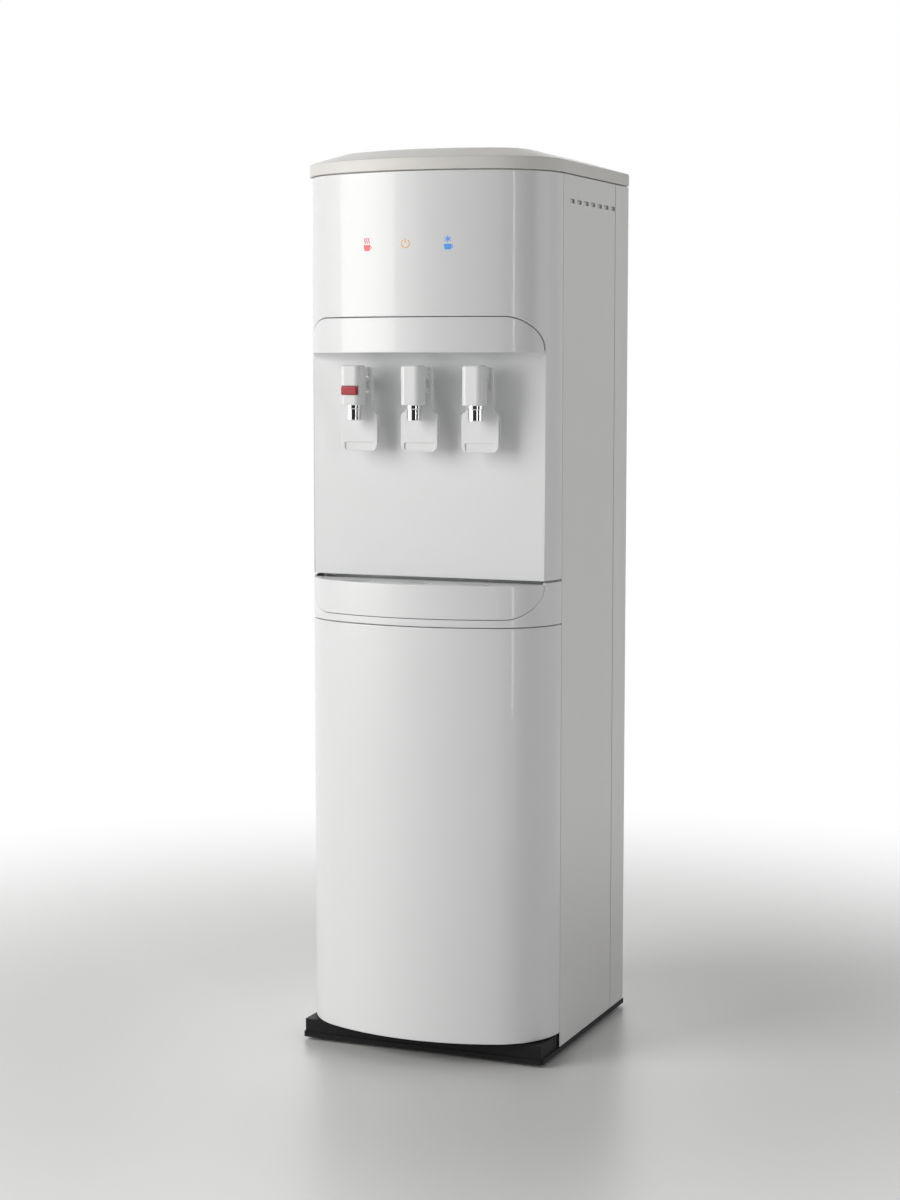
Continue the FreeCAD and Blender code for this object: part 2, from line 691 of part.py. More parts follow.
def shelf(label, height, front, back_to, holes):
    """A folded sheet shelf whose side flanges stand against the side panels."""
    plate = new_body(label)
    add(plate, "XY", height, height + deck.gauge,
        rectangle(-frame_half, front, frame_half, back_to))
    for side in (-1, 1):
        add(plate, "XY", height - deck.flange, height + 0.5,
            rectangle(frame_half * side, front, (frame_half - deck.gauge) * side, seam_y - 1))
    add(plate, "XZ", back_to - deck.gauge, back_to,
        rectangle(-frame_half + 4, height - deck.flange, frame_half - 4, height + 0.5))
    cut(plate, "XZ", back_to - 3, back_to + 1,
        *[circle(across, height - deck.flange / 2, back.screw + back.screw_fit)
          for across in (-back.screw_across, back.screw_across)])
    cut(plate, "XY", height - 1, height + deck.gauge + 1, *holes)
    cut(plate, "XY", height - 1, height + deck.gauge + 1,
        *[rectangle((frame_half - 3) * side, seam_y - 1, (frame_half + 1) * side, back_to + 1)
          for side in (-1, 1)])
    return plate


# ---------------------------------------------------------------- cooling and heating works

press = sizes("press", across=16, depth=246, radius=56, low=574, tall=150, dome=26,
              foot_half=84, foot_wide=40, foot_gauge=2.5, grommet=9, bolt=3, stub=4)
pump = sizes("pump", across=-88, depth=150, radius=25, tall=58, port=4, head=16)
cold = sizes("cold", across=76, depth=196, radius=57, low=838, tall=150, dome=14, wall=1.2,
             tube=3, turn_gap=0.5, pitch=14, rise=112, jacket=74, jacket_wall=9, outlet=5)
hot = sizes("hot", across=-76, depth=188, radius=46, low=834, tall=132, dome=12, wall=1.2,
            outlet=5, band=3, band_low=42, band_tall=40)
probe = sizes("probe", across=116, depth=298, cap=31, cap_low=470, cap_tall=34, neck=20, tube=7,
              tube_low=60, tube_bore=4, hose=5, gland=12, clip_height=300, clip_tall=16)

tubes = sizes("tubes", radius=4.5, bend=12, rise_depth=275, run_height=770, low_height=592,
              top_gap=30, end_gap=0.2)
press_feet = [(press.across + press.foot_half * 0.75 * x, press.depth + press.foot_wide * y)
              for x in (-1, 1) for y in (-1, 1)]
shelf("mid_deck", deck.height, shelf_front, rear_inner,
      [circle(probe.across, probe.depth, probe.hose + 3)]
      + [circle(across, depth, press.bolt + 0.3) for across, depth in press_feet])
shelf("tank_shelf", deck.shelf, shelf_front, rear_inner,
      [circle(cold.across, cold.depth, cold.outlet + 4),
       circle(hot.across, hot.depth, hot.outlet + 4),
       circle(0, tubes.rise_depth, tubes.radius + 3)])

compressor = new_body("compressor", press.across, press.depth)
dome_low = press.low + press.dome
dome_high = press.low + press.tall - press.dome
turned(compressor, "Revolution",
       [(0, press.low), (press.radius * 0.55, press.low), (press.radius, dome_low),
        (press.radius, dome_low + 46), (press.radius + 3, dome_low + 47),
        (press.radius + 3, dome_low + 50), (press.radius, dome_low + 51),
        (press.radius, dome_high), (press.radius * 0.55, press.low + press.tall),
        (0, press.low + press.tall)])
round_edges(compressor, 12,
            lambda edge: near(edge.BoundBox.ZMin, dome_high) and edge.BoundBox.ZLength < 0.1)
add(compressor, "XY", press.low - press.foot_gauge, press.low + 1,
    rectangle(-press.foot_half, -press.foot_wide - 12, press.foot_half, press.foot_wide + 12))
foot_holes = [(press.foot_half * 0.75 * x, press.foot_wide * y) for x in (-1, 1)
              for y in (-1, 1)]
cut(compressor, "XY", press.low - press.foot_gauge - 1, press.low + 2,
    *[circle(across, depth, press.bolt + 1.5) for across, depth in foot_holes])
add(compressor, "XY", dome_high - 30, dome_high - 4,
    rectangle(-press.radius - 14, -18, 4 - press.radius, 18))
add(compressor, "XZ", -press.radius - 14, 0,
    circle(-20, dome_high - 16, press.stub), circle(20, dome_high - 30, press.stub))

grommets = new_body("compressor_grommets", press.across, press.depth)
grommet_low = deck.height + deck.gauge
grommet_high = press.low - press.foot_gauge
grommet_rings = [circle(across, depth, press.grommet) for across, depth in foot_holes]
bolt_holes = [circle(across, depth, press.bolt + 0.3) for across, depth in foot_holes]
add(grommets, "XY", grommet_low, grommet_high, *grommet_rings)
add(grommets, "XY", grommet_high, press.low + 3,
    *[circle(across, depth, press.bolt + 1.4) for across, depth in foot_holes])
cut(grommets, "XY", grommet_low - 1, press.low + 4, *bolt_holes)


def tank(label, place, ports):
    """A turned, domed tank with an open outlet below."""
    vessel = new_body(label, place.across, place.depth)
    low = place.low
    high = place.low + place.tall
    core = place.radius - place.wall
    turned(vessel, "Revolution",
           [(0, low), (place.radius * 0.5, low), (place.radius, low + place.dome),
            (place.radius, high - place.dome), (place.radius * 0.5, high), (0, high)])
    turned(vessel, "Groove",
           [(0, low + place.wall), (core * 0.5, low + place.wall),
            (core, low + place.wall + place.dome), (core, high - place.wall - place.dome),
            (core * 0.5, high - place.wall), (0, high - place.wall)])
    outlet_low = deck.shelf - 14
    add(vessel, "XY", outlet_low, low + 1, circle(0, 0, place.outlet + place.wall))
    add(vessel, "XY", high - 1, high + 12,
        *[circle(across, 0, place.outlet + place.wall) for across in ports])
    cut(vessel, "XY", outlet_low - 1, low + 2, circle(0, 0, place.outlet))
    cut(vessel, "XY", high - 2, high + 13, *[circle(across, 0, place.outlet) for across in ports])
    for side in (-1, 0, 1):
        across = place.radius * 0.42 * side
        add(vessel, "XY", deck.shelf + deck.gauge, low + place.dome * 0.3 + 1,
            rectangle(across - 3, place.radius * (0.5 if side else -0.55) - 3,
                      across + 3, place.radius * (0.5 if side else -0.55) + 3))
    return vessel


tank("cold_tank", cold, (-24, 24))
tank("hot_tank", hot, (-18, 18))

coil_radius = (cold.radius + cold.tube + cold.turn_gap).number
coil_low = (cold.low + cold.dome + 4).number
bends_a_turn = 6
bend_count = round(cold.rise.number / cold.pitch.number * bends_a_turn)
coil_points = []
for number in [0.5, *range(1, bend_count), bend_count - 0.5]:
    # whole numbers are corners outside the winding, the ends lie on it
    reach = coil_radius / (math.cos(math.pi / bends_a_turn) if number == int(number) else 1)
    turn = 2 * math.pi * number / bends_a_turn
    coil_points.append((cold.across.number + reach * math.cos(turn),
                        cold.depth.number + reach * math.sin(turn),
                        coil_low + cold.pitch.number * number / bends_a_turn))
shape_piece("evaporator_coil", bent_tube(coil_points, coil_radius * 0.96, cold.tube))
print(f"evaporator_coil: least gap between turns {(cold.pitch - cold.tube * 2).number:.1f} mm")

jacket = new_body("cold_tank_jacket", cold.across, cold.depth)
jacket_high = cold.low + cold.tall
add(jacket, "XY", deck.shelf + deck.gauge, jacket_high, circle(0, 0, cold.jacket),
    circle(0, 0, cold.jacket - cold.jacket_wall))

band = new_body("band_heater", hot.across, hot.depth)
band_low = hot.low + hot.band_low
band_high = band_low + hot.band_tall
band_in = hot.radius + 0.1
band_out = band_in + hot.band
add(band, "XY", band_low, band_high, circle(0, 0, band_out), circle(0, 0, band_in))
add(band, "XY", band_low + 8, band_high - 8, rectangle(-11, -band_out - 9, 11, -band_in - 0.4))
cut(band, "XY", band_low - 1, band_high + 1, rectangle(-1.5, band_in - 2, 1.5, band_out + 2))

water_pump = new_body("water_pump", pump.across, pump.depth)
pump_low = deck.height + deck.gauge
add(water_pump, "XY", pump_low, pump_low + 3, rectangle(-30, -30, 30, 30))
add(water_pump, "XY", pump_low + 2, pump_low + pump.tall, circle(0, 0, pump.radius))
add(water_pump, "XY", pump_low + pump.tall, pump_low + pump.tall + pump.head,
    rectangle(-22, -22, 22, 22))
round_edges(water_pump, 4, lambda edge: is_upright(edge)
            and near(edge.BoundBox.ZMax, pump_low + pump.tall + pump.head))
port_height = pump_low + pump.tall + pump.head / 2
add(water_pump, "YZ", -34, 34, circle(0, port_height, pump.port + 1))
cut(water_pump, "YZ", -35, -12, circle(0, port_height, pump.port))
cut(water_pump, "YZ", 12, 35, circle(0, port_height, pump.port))

board = new_body("control_board")
add(board, "XZ", lights.board, lights.board + 1.6,
    rectangle(-lights.spread * 1.45, lights.height - 24, lights.spread * 1.45,
              lights.height + 20))
add(board, "XZ", lights.board + 1, lights.board + 9,
    rectangle(-34, lights.height - 18, -10, lights.height - 2),
    rectangle(8, lights.height - 20, 20, lights.height - 8),
    rectangle(34, lights.height - 20, 62, lights.height - 10))


def lens(label, side):
    """A round indicator lens, its face a little proud of the bow and its flange behind it."""
    across = lights.spread * side
    body = new_body(label)
    face = bow_y(0, across) - lights.proud
    add(body, "XZ", face, lights.board, circle(across, lights.height, lights.lens))
    flange_front = bow_y(shell.wall, across) + as_size(abs(side) * 1.6 + 0.3)
    add(body, "XZ", flange_front, flange_front + 1, circle(across, lights.height, lights.flange))
    round_edges(body, 0.5, lambda edge: near(edge.BoundBox.YMax, face))


lens("hot_indicator", -1)
lens("power_indicator", 0)
lens("cold_indicator", 1)

# ---------------------------------------------------------------- taps

paddle = sizes("paddle", width=46, low=714, back=41, thick=3, corner=8, notch=12.6, clear=782,
               rib=1.8, rib_depth=3.6, dent=34, dent_low=717, dent_high=723.5, dent_depth=1.4,
               finger=3.4, finger_tip=21, finger_thick=4)
stem = sizes("stem", rod=2, poppet=6, collar=6.4, collar_thick=3.2, gap=0.3, spring=4.6,
             wire=0.6, pitch=3.2)
button = sizes("button", width=20, tall=10, low=780, proud=1.6, thick=3.4, gap=0.2, travel=3)
spout = sizes("spout", low=750, radius=8.5, bore=4.6, bead=9.2, collar=3)


def tap_body(label, place, has_button):
    body = new_body(label, place)
    half = taps.width / 2
    rear_face = taps.front + taps.depth
    add(body, "XZ", taps.front, rear_face, rectangle(-half, taps.low, half, taps.high))
    round_edges(body, taps.edge,
                lambda edge: is_upright(edge) or near(edge.BoundBox.ZMin, taps.high))
    add(body, "XZ", rear_face - 1, taps.shank_end,
        circle(0, taps.shank_height, taps.shank))
    for side in (-1, 1):
        add(body, "XY", taps.pin_height - 5, taps.high - 2,
            rectangle(taps.lug_inner * side, rear_face - 1, taps.lug_outer * side,
                      taps.pin_depth + 5))
    cut(body, "XY", taps.low - 1, taps.seat_low, circle(0, taps.outlet_depth, taps.chamber))
    cut(body, "XY", taps.seat_high, taps.high - taps.top_wall,
        circle(0, taps.outlet_depth, taps.chamber))
    cut(body, "XY", taps.seat_low - 1, taps.seat_high + 1,
        circle(0, taps.outlet_depth, taps.seat_hole))
    cut(body, "XY", taps.pin_height - 5.5, taps.high - taps.top_wall,
        rectangle(-paddle.finger - 0.8, taps.outlet_depth, paddle.finger + 0.8, rear_face + 1))
    cut(body, "XZ", taps.outlet_depth + 2, taps.shank_end + 1,
        circle(0, taps.shank_height, taps.bore))
    cut(body, "YZ", -taps.lug_outer - 1, taps.lug_outer + 1,
        circle(taps.pin_depth, taps.pin_height, taps.pin + taps.fit))
    if has_button:
        cut(body, "XZ", taps.front - 1,
            taps.front - button.proud + button.thick + button.travel + 0.4,
            rectangle(-button.width / 2 - button.gap, button.low - button.gap,
                      button.width / 2 + button.gap, button.low + button.tall + button.gap))


def tap_paddle(label, place):
    body = new_body(label, place)
    half = paddle.width / 2
    high = taps.pin_height + 4.5
    front = paddle.back - paddle.thick
    radius = paddle.corner
    add(body, "XZ", front, paddle.back,
        [(radius - half, paddle.low), (half - radius, paddle.low, radius, 1),
         (half, paddle.low + radius), (half, high), (paddle.notch, high),
         (paddle.notch, paddle.clear), (-paddle.notch, paddle.clear), (-paddle.notch, high),
         (-half, high), (-half, paddle.low + radius, radius, 1)])
    for side in (-1, 1):
        add(body, "XY", paddle.low + radius + 1, high - 8,
            rectangle(half * side, paddle.back - 1, (half - paddle.rib) * side,
                      paddle.back + paddle.rib_depth))
    cut(body, "XZ", front - 1, front + paddle.dent_depth,
        rectangle(-paddle.dent / 2, paddle.dent_low, paddle.dent / 2, paddle.dent_high))
    add(body, "YZ", -half + 1, half - 1, circle(taps.pin_depth, taps.pin_height, taps.pin))
    add(body, "XY", taps.pin_height - paddle.finger_thick / 2,
        taps.pin_height + paddle.finger_thick / 2,
        rectangle(-paddle.finger, paddle.finger_tip, paddle.finger, taps.pin_depth))


finger_low = taps.pin_height - paddle.finger_thick / 2
collar_high = finger_low - stem.gap
collar_low = collar_high - stem.collar_thick


def valve_stem(label, place):
    body = new_body(label, place, taps.outlet_depth)
    poppet_high = taps.seat_low - stem.gap * 0.5
    turned(body, "Revolution",
           [(0, poppet_high - 3), (stem.poppet - 1.5, poppet_high - 3),
            (stem.poppet, poppet_high - 1.5), (stem.poppet, poppet_high),
            (stem.rod, poppet_high), (stem.rod, collar_low), (stem.collar, collar_low),
            (stem.collar, collar_high), (0, collar_high)])


def valve_spring(label, place):
    body = new_body(label, place, taps.outlet_depth)
    low = taps.seat_high + stem.wire
    wound(body, stem.spring, low, stem.wire, stem.pitch, collar_low - stem.wire - low)


for name, place in zip(("hot", "room", "cold"), tap_places):
    tap_body(f"{name}_tap_body", place, name == "hot")
    tap_paddle(f"{name}_paddle", place)
    valve_stem(f"{name}_valve_stem", place)
    valve_spring(f"{name}_valve_spring", place)

lock = new_body("hot_safety_button", tap_places[0])
button_front = taps.front - button.proud
add(lock, "XZ", button_front, button_front + button.thick,
    rectangle(-button.width / 2, button.low, button.width / 2, button.low + button.tall))
round_edges(lock, 1.4, lambda edge: near(edge.BoundBox.YMax, button_front))

spouts = new_body("tap_spouts", 0, taps.outlet_depth)
for low, high, radius in ((spout.low, taps.low, spout.radius),
                          (taps.low - 4, taps.low, spout.bead),
                          (taps.low - 1, taps.low + spout.collar, taps.chamber - 0.1)):
    add(spouts, "XY", low, high, *[circle(place, 0, radius) for place in tap_places])
round_edges(spouts, 1, lambda edge: near(edge.BoundBox.ZMax, spout.low))
cut(spouts, "XY", spout.low - 1, taps.low + spout.collar + 1,
    *[circle(place, 0, spout.bore) for place in tap_places])

nuts = new_body("tap_nuts")
nut_loops = []
for place in tap_places:
    corners = [(place + taps.nut * math.cos(math.radians(60 * n)),
                taps.shank_height + taps.nut * math.sin(math.radians(60 * n)))
               for n in range(6)]
    nut_loops += [corners, circle(place, taps.shank_height, taps.shank + taps.fit)]
add(nuts, "XZ", wall_back, wall_back + taps.nut_depth, *nut_loops)

# ---------------------------------------------------------------- back of the cooler

coil_y = coil_depth.number
pass_gap = coil.bend.number * 2
route = []
for row in range(int(coil.passes.number)):
    height = coil.low.number + row * pass_gap
    edge = coil.half_width.number * (1 if row % 2 else -1)
    route.append(Part.makeLine(Vector(edge * -1, coil_y, height), Vector(edge, coil_y, height))
                 if row % 2 else
                 Part.makeLine(Vector(-edge, coil_y, height), Vector(edge, coil_y, height)))
    if row < coil.passes.number - 1:
        out = edge + math.copysign(coil.bend.number, edge)
        route.append(Part.Arc(Vector(edge, coil_y, height),
                              Vector(out, coil_y, height + coil.bend.number),
                              Vector(edge, coil_y, height + pass_gap)).toShape())
start = Vector(coil.half_width.number, coil_y, coil.low.number)
ring = Part.Wire(Part.makeCircle(coil.tube.number, start, Vector(-1, 0, 0)))
serpentine = Part.Wire(route).makePipeShell([ring], True, False)
wire_rise = coil.low.number + pass_gap * (coil.passes.number - 1)
rods = []
for number in range(int(coil.wires.number)):
    share = number / (coil.wires.number - 1) * 2 - 1
    rods.append(Part.makeCylinder(
        coil.wire.number, wire_rise - coil.low.number + 16,
        Vector(share * coil.half_width.number * 0.94,
               coil_y + coil.tube.number + coil.wire.number * 0.8, coil.low.number - 8)))
shape_piece("condenser_coil", serpentine.fuse(rods))
print(f"condenser_coil: least gap between passes {pass_gap - coil.tube.number * 2:.1f} mm")

rails = new_body("coil_brackets")
rail_high = coil.low + coil.bend * 2 * (coil.passes - 1) + 10
rail_back = coil_depth - coil.tube - 0.1
for side in (-1, 1):
    middle = coil.half_width * 0.72 * side
    add(rails, "XY", coil.low - 10, rail_high,
        [(middle - 9, shell.depth), (middle + 9, shell.depth), (middle + 9, shell.depth + 1.2),
         (middle + 5, shell.depth + 1.2), (middle + 5, rail_back), (middle - 5, rail_back),
         (middle - 5, shell.depth + 1.2), (middle - 9, shell.depth + 1.2)])
    cut(rails, "XY", coil.low - 11, rail_high + 1,
        rectangle(middle - 3.8, shell.depth - 1, middle + 3.8, rail_back - 1.2))

drain = new_body("drain_pipe")
drain_end = shell.depth + back.drain_out
add(drain, "XZ", shell.depth - 40, drain_end,
    circle(back.drain_across, back.drain_height, back.drain))
add(drain, "XZ", shell.depth, shell.depth + 3,
    circle(back.drain_across, back.drain_height, back.drain + 4))
cut(drain, "XZ", shell.depth - 41, drain_end + 1,
    circle(back.drain_across, back.drain_height, back.drain - 2))

cap = new_body("drain_cap")
add(cap, "XZ", shell.depth + 3.4, drain_end + 2.4,
    circle(back.drain_across, back.drain_height, back.drain_cap))
cut(cap, "XZ", shell.depth + 3, drain_end + 0.2,
    circle(back.drain_across, back.drain_height, back.drain + 0.08))
grips = []
for number in range(12):
    angle = math.radians(30 * number)
    grips.append(circle(back.drain_across + back.drain_cap * math.cos(angle),
                        back.drain_height + back.drain_cap * math.sin(angle), 1.2))
cut(cap, "XZ", shell.depth + 3, drain_end + 3, *grips)

holder = new_body("switch_frame")
switch_side = back.switch_width
switch_up = back.switch_tall / 2
low_edge = back.switch_height - switch_up
high_edge = back.switch_height + switch_up
left_edge = back.switch_across - switch_side
right_edge = back.switch_across + switch_side
add(holder, "XZ", shell.depth, shell.depth + 2,
    rectangle(left_edge - 3, low_edge - 3, right_edge + 3, high_edge + 3))
add(holder, "XZ", rear_inner - 16, shell.depth + 1,
    rectangle(left_edge + 0.4, low_edge + 0.4, right_edge - 0.4, high_edge - 0.4))
openings = []
for side in (-1, 1):
    middle = back.switch_across + side * 12
    openings.append(rectangle(middle - 8, back.switch_height - 12.2, middle + 8,
                              back.switch_height + 12.2))
cut(holder, "XZ", rear_inner - 12, shell.depth + 3, *openings)
pivot_depth = shell.depth + 2 - back.pivot_in
cut(holder, "YZ", left_edge, right_edge,
    circle(pivot_depth, back.switch_height, back.pivot + back.pivot_fit))


def rocker(label, side):
    """A rocker switch: a shallow V that tips about the middle of its face."""
    body = new_body(label)
    middle = back.switch_across + side * 12
    face = shell.depth + 2
    add(body, "YZ", middle - 7.8, middle + 7.8,
        [(face - 8, back.switch_height - 4), (face - 1, back.switch_height - 10.4),
         (face + 1.6, back.switch_height - 10), (face + 0.4, back.switch_height),
         (face - 1.6, back.switch_height + 10.4), (face - 4, back.switch_height + 10),
         (face - 8, back.switch_height + 4)])
    add(body, "YZ", middle - 9, middle + 9, circle(pivot_depth, back.switch_height, back.pivot))


rocker("heating_switch", -1)
rocker("cooling_switch", 1)

gland = new_body("inlet_gland")
add(gland, "XZ", rear_inner - 8, shell.depth + 1,
    circle(back.gland_across, back.gland_height, back.gland))
add(gland, "XZ", shell.depth, shell.depth + 5,
    circle(back.gland_across, back.gland_height, back.gland + 4))
round_edges(gland, 1.5, lambda edge: near(edge.BoundBox.YMin, shell.depth + 5))
cut(gland, "XZ", rear_inner - 9, shell.depth + 6,
    circle(back.gland_across, back.gland_height, back.cord))

# ---------------------------------------------------------------- bottle side

bottle_probe = new_body("bottle_probe", probe.across, probe.depth)
cap_high = probe.cap_low + probe.cap_tall
turned(bottle_probe, "Revolution",
       [(0, probe.tube_low), (probe.tube, probe.tube_low), (probe.tube, probe.cap_low + probe.neck),
        (probe.cap - 3, probe.cap_low + probe.neck), (probe.cap - 3, probe.cap_low),
        (probe.cap, probe.cap_low), (probe.cap, cap_high - 8), (probe.hose + 3, cap_high),
        (0, cap_high)])
cut(bottle_probe, "XY", probe.tube_low - 1, cap_high + 1, circle(0, 0, probe.tube_bore))

hose = new_body("probe_hose", probe.across, probe.depth)
add(hose, "XY", cap_high, deck.height - 4, circle(0, 0, probe.hose + 1.5),
    circle(0, 0, probe.hose - 1))

hose_gland = new_body("hose_gland", probe.across, probe.depth)
add(hose_gland, "XY", deck.height - 4, deck.height, circle(0, 0, probe.gland))
add(hose_gland, "XY", deck.height - 1, deck.height + 12, circle(0, 0, probe.hose + 2.7))
cut(hose_gland, "XY", deck.height - 5, deck.height + 13, circle(0, 0, probe.hose - 1))

clip = new_body("probe_clip", probe.across, probe.depth)
clip_out = probe.tube + 2.6
clip_high = probe.clip_height + probe.clip_tall
rear_gap = rear_inner - probe.depth
add(clip, "XY", probe.clip_height, clip_high, circle(0, 0, clip_out))
add(clip, "XY", probe.clip_height, clip_high, rectangle(-4, probe.tube + 1, 4, rear_gap))
add(clip, "XZ", rear_gap - 2, rear_gap,
    rectangle(-14, probe.clip_height - 8, 14, clip_high + 8))
cut(clip, "XY", probe.clip_height - 9, clip_high + 9, circle(0, 0, probe.tube + 0.08))
cut(clip, "XY", probe.clip_height - 9, clip_high + 9,
    rectangle(-probe.tube * 0.7, -clip_out - 1, probe.tube * 0.7, 0))

catch = sizes("catch", height=270, wide=12, tall=44, deep=6, plate=1.2)
magnet = new_body("magnet_catch")
catch_x = half_width - frame.lug - 1
add(magnet, "XY", catch.height, catch.height + catch.tall,
    rectangle(catch_x - catch.wide * 0.3, corner_y + catch.plate, catch_x + catch.wide * 0.7,
              frame_front))
keeper = new_body("catch_plate")
add(keeper, "XY", catch.height, catch.height + catch.tall,
    rectangle(catch_x - catch.wide * 0.3 + 1, corner_y, catch_x + catch.wide * 0.7,
              corner_y + catch.plate - 0.2))

end_gap = tubes.end_gap
low_run = tubes.low_height
top_run = jacket_high + tubes.top_gap
out_x = pump.across - 52
in_x = pump.across + 58
inlet_x = cold.across - 24
feed_y = taps.shank_end + end_gap
tank_out = deck.shelf - 14 - end_gap
probe_to_pump = [(probe.across, probe.depth, deck.height + 12 + end_gap),
                 (probe.across, probe.depth, low_run), (probe.across, 130, low_run),
                 (in_x, 130, low_run), (in_x, pump.depth + 30, low_run),
                 (in_x, pump.depth + 30, port_height), (in_x, pump.depth, port_height),
                 (pump.across + 34 + end_gap, pump.depth, port_height)]
pump_to_tank = [(pump.across - 34 - end_gap, pump.depth, port_height),
                (out_x, pump.depth, port_height), (out_x, pump.depth, tubes.run_height),
                (0, pump.depth, tubes.run_height), (0, tubes.rise_depth, tubes.run_height),
                (0, tubes.rise_depth, top_run), (inlet_x, tubes.rise_depth, top_run),
                (inlet_x, cold.depth, top_run), (inlet_x, cold.depth, jacket_high + 12 + end_gap)]
room_feed = [(0, feed_y, taps.shank_height), (0, pump.depth + 40, taps.shank_height),
             (0, pump.depth + 40, tubes.run_height + 2)]
hot_feed = [(hot.across, hot.depth, tank_out), (hot.across, hot.depth, taps.shank_height),
            (hot.across, feed_y, taps.shank_height)]
cold_feed = [(cold.across, cold.depth, tank_out), (cold.across, cold.depth, taps.shank_height),
             (cold.across, feed_y, taps.shank_height)]
risers = bent_tube(pump_to_tank, tubes.bend, tubes.radius)
branch = bent_tube(room_feed, tubes.bend, tubes.radius)
others = [bent_tube(run, tubes.bend, tubes.radius)
          for run in (probe_to_pump, hot_feed, cold_feed)]
shape_piece("water_tubes", Part.makeCompound([risers.fuse(branch)] + others))

# ---------------------------------------------------------------- check and write

doc.recompute()
faults = []
for item in doc.Objects:
    if "Invalid" in item.State or "Error" in item.State:
        faults.append(f"{item.Name}: {item.State}")
for piece in pieces:
    if piece.Shape.isNull() or not piece.Shape.isValid() or not piece.Shape.Solids:
        faults.append(f"{piece.Label}: bad shape")
if faults:
    raise SystemExit("\n".join(faults))

os.makedirs("parts", exist_ok=True)
for piece in pieces:
    piece.Shape.exportStep(f"parts/{piece.Label}.step")
print(f"{len(pieces)} pieces written")
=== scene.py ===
import bpy
import bmesh
import json
import math
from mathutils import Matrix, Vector, geometry


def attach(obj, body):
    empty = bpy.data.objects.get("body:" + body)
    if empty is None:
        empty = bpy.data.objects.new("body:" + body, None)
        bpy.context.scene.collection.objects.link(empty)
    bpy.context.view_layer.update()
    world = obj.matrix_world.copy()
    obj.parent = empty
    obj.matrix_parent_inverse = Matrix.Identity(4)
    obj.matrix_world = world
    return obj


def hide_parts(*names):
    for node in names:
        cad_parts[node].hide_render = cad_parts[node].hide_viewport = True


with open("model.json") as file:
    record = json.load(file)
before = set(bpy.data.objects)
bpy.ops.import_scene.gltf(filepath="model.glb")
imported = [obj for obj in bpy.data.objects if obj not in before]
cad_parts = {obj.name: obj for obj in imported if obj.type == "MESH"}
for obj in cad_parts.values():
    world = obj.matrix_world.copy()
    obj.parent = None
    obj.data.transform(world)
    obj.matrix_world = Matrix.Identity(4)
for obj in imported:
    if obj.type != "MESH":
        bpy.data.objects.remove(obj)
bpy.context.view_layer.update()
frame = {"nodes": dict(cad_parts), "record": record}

# ---- the casing's plan, in mm, with depth counted from the crest of the bowed front
plan = {"half": 155, "depth": 333, "bowRadius": 270, "cornerRadius": 82, "middle": 177.51}
cornerX = plan["half"] - plan["cornerRadius"]
bowReach = plan["bowRadius"] - plan["cornerRadius"]
cornerY = plan["bowRadius"] - math.sqrt(bowReach ** 2 - cornerX ** 2)
cornerTurn = math.asin(cornerX / bowReach)
bowLength = plan["bowRadius"] * cornerTurn
frontLength = bowLength + plan["cornerRadius"] * (math.pi / 2 - cornerTurn)


def at(across, depth, height):
    return Vector((across, depth - plan["middle"], height)) / 1000


def frontAlong(across):
    # length along the front from the middle to a place this far across
    side = math.copysign(1, across)
    across = min(abs(across), plan["half"])
    if across <= plan["bowRadius"] * math.sin(cornerTurn):
        return side * plan["bowRadius"] * math.asin(across / plan["bowRadius"])
    turn = math.asin((across - cornerX) / plan["cornerRadius"])
    return side * (bowLength + plan["cornerRadius"] * (turn - cornerTurn))


def frontPlace(along):
    # across, depth and outward direction at a length along the front
    side = math.copysign(1, along)
    along = abs(along)
    if along <= bowLength:
        turn = along / plan["bowRadius"]
        across = plan["bowRadius"] * math.sin(turn)
        depth = plan["bowRadius"] * (1 - math.cos(turn))
    elif along <= frontLength:
        turn = cornerTurn + (along - bowLength) / plan["cornerRadius"]
        across = cornerX + plan["cornerRadius"] * math.sin(turn)
        depth = cornerY - plan["cornerRadius"] * math.cos(turn)
    else:
        turn = math.pi / 2
        across, depth = plan["half"], cornerY + along - frontLength
    return side * across, depth, side * math.sin(turn), -math.cos(turn)


frontRulings = [frontLength * step / 44 for step in range(-43, 44)]


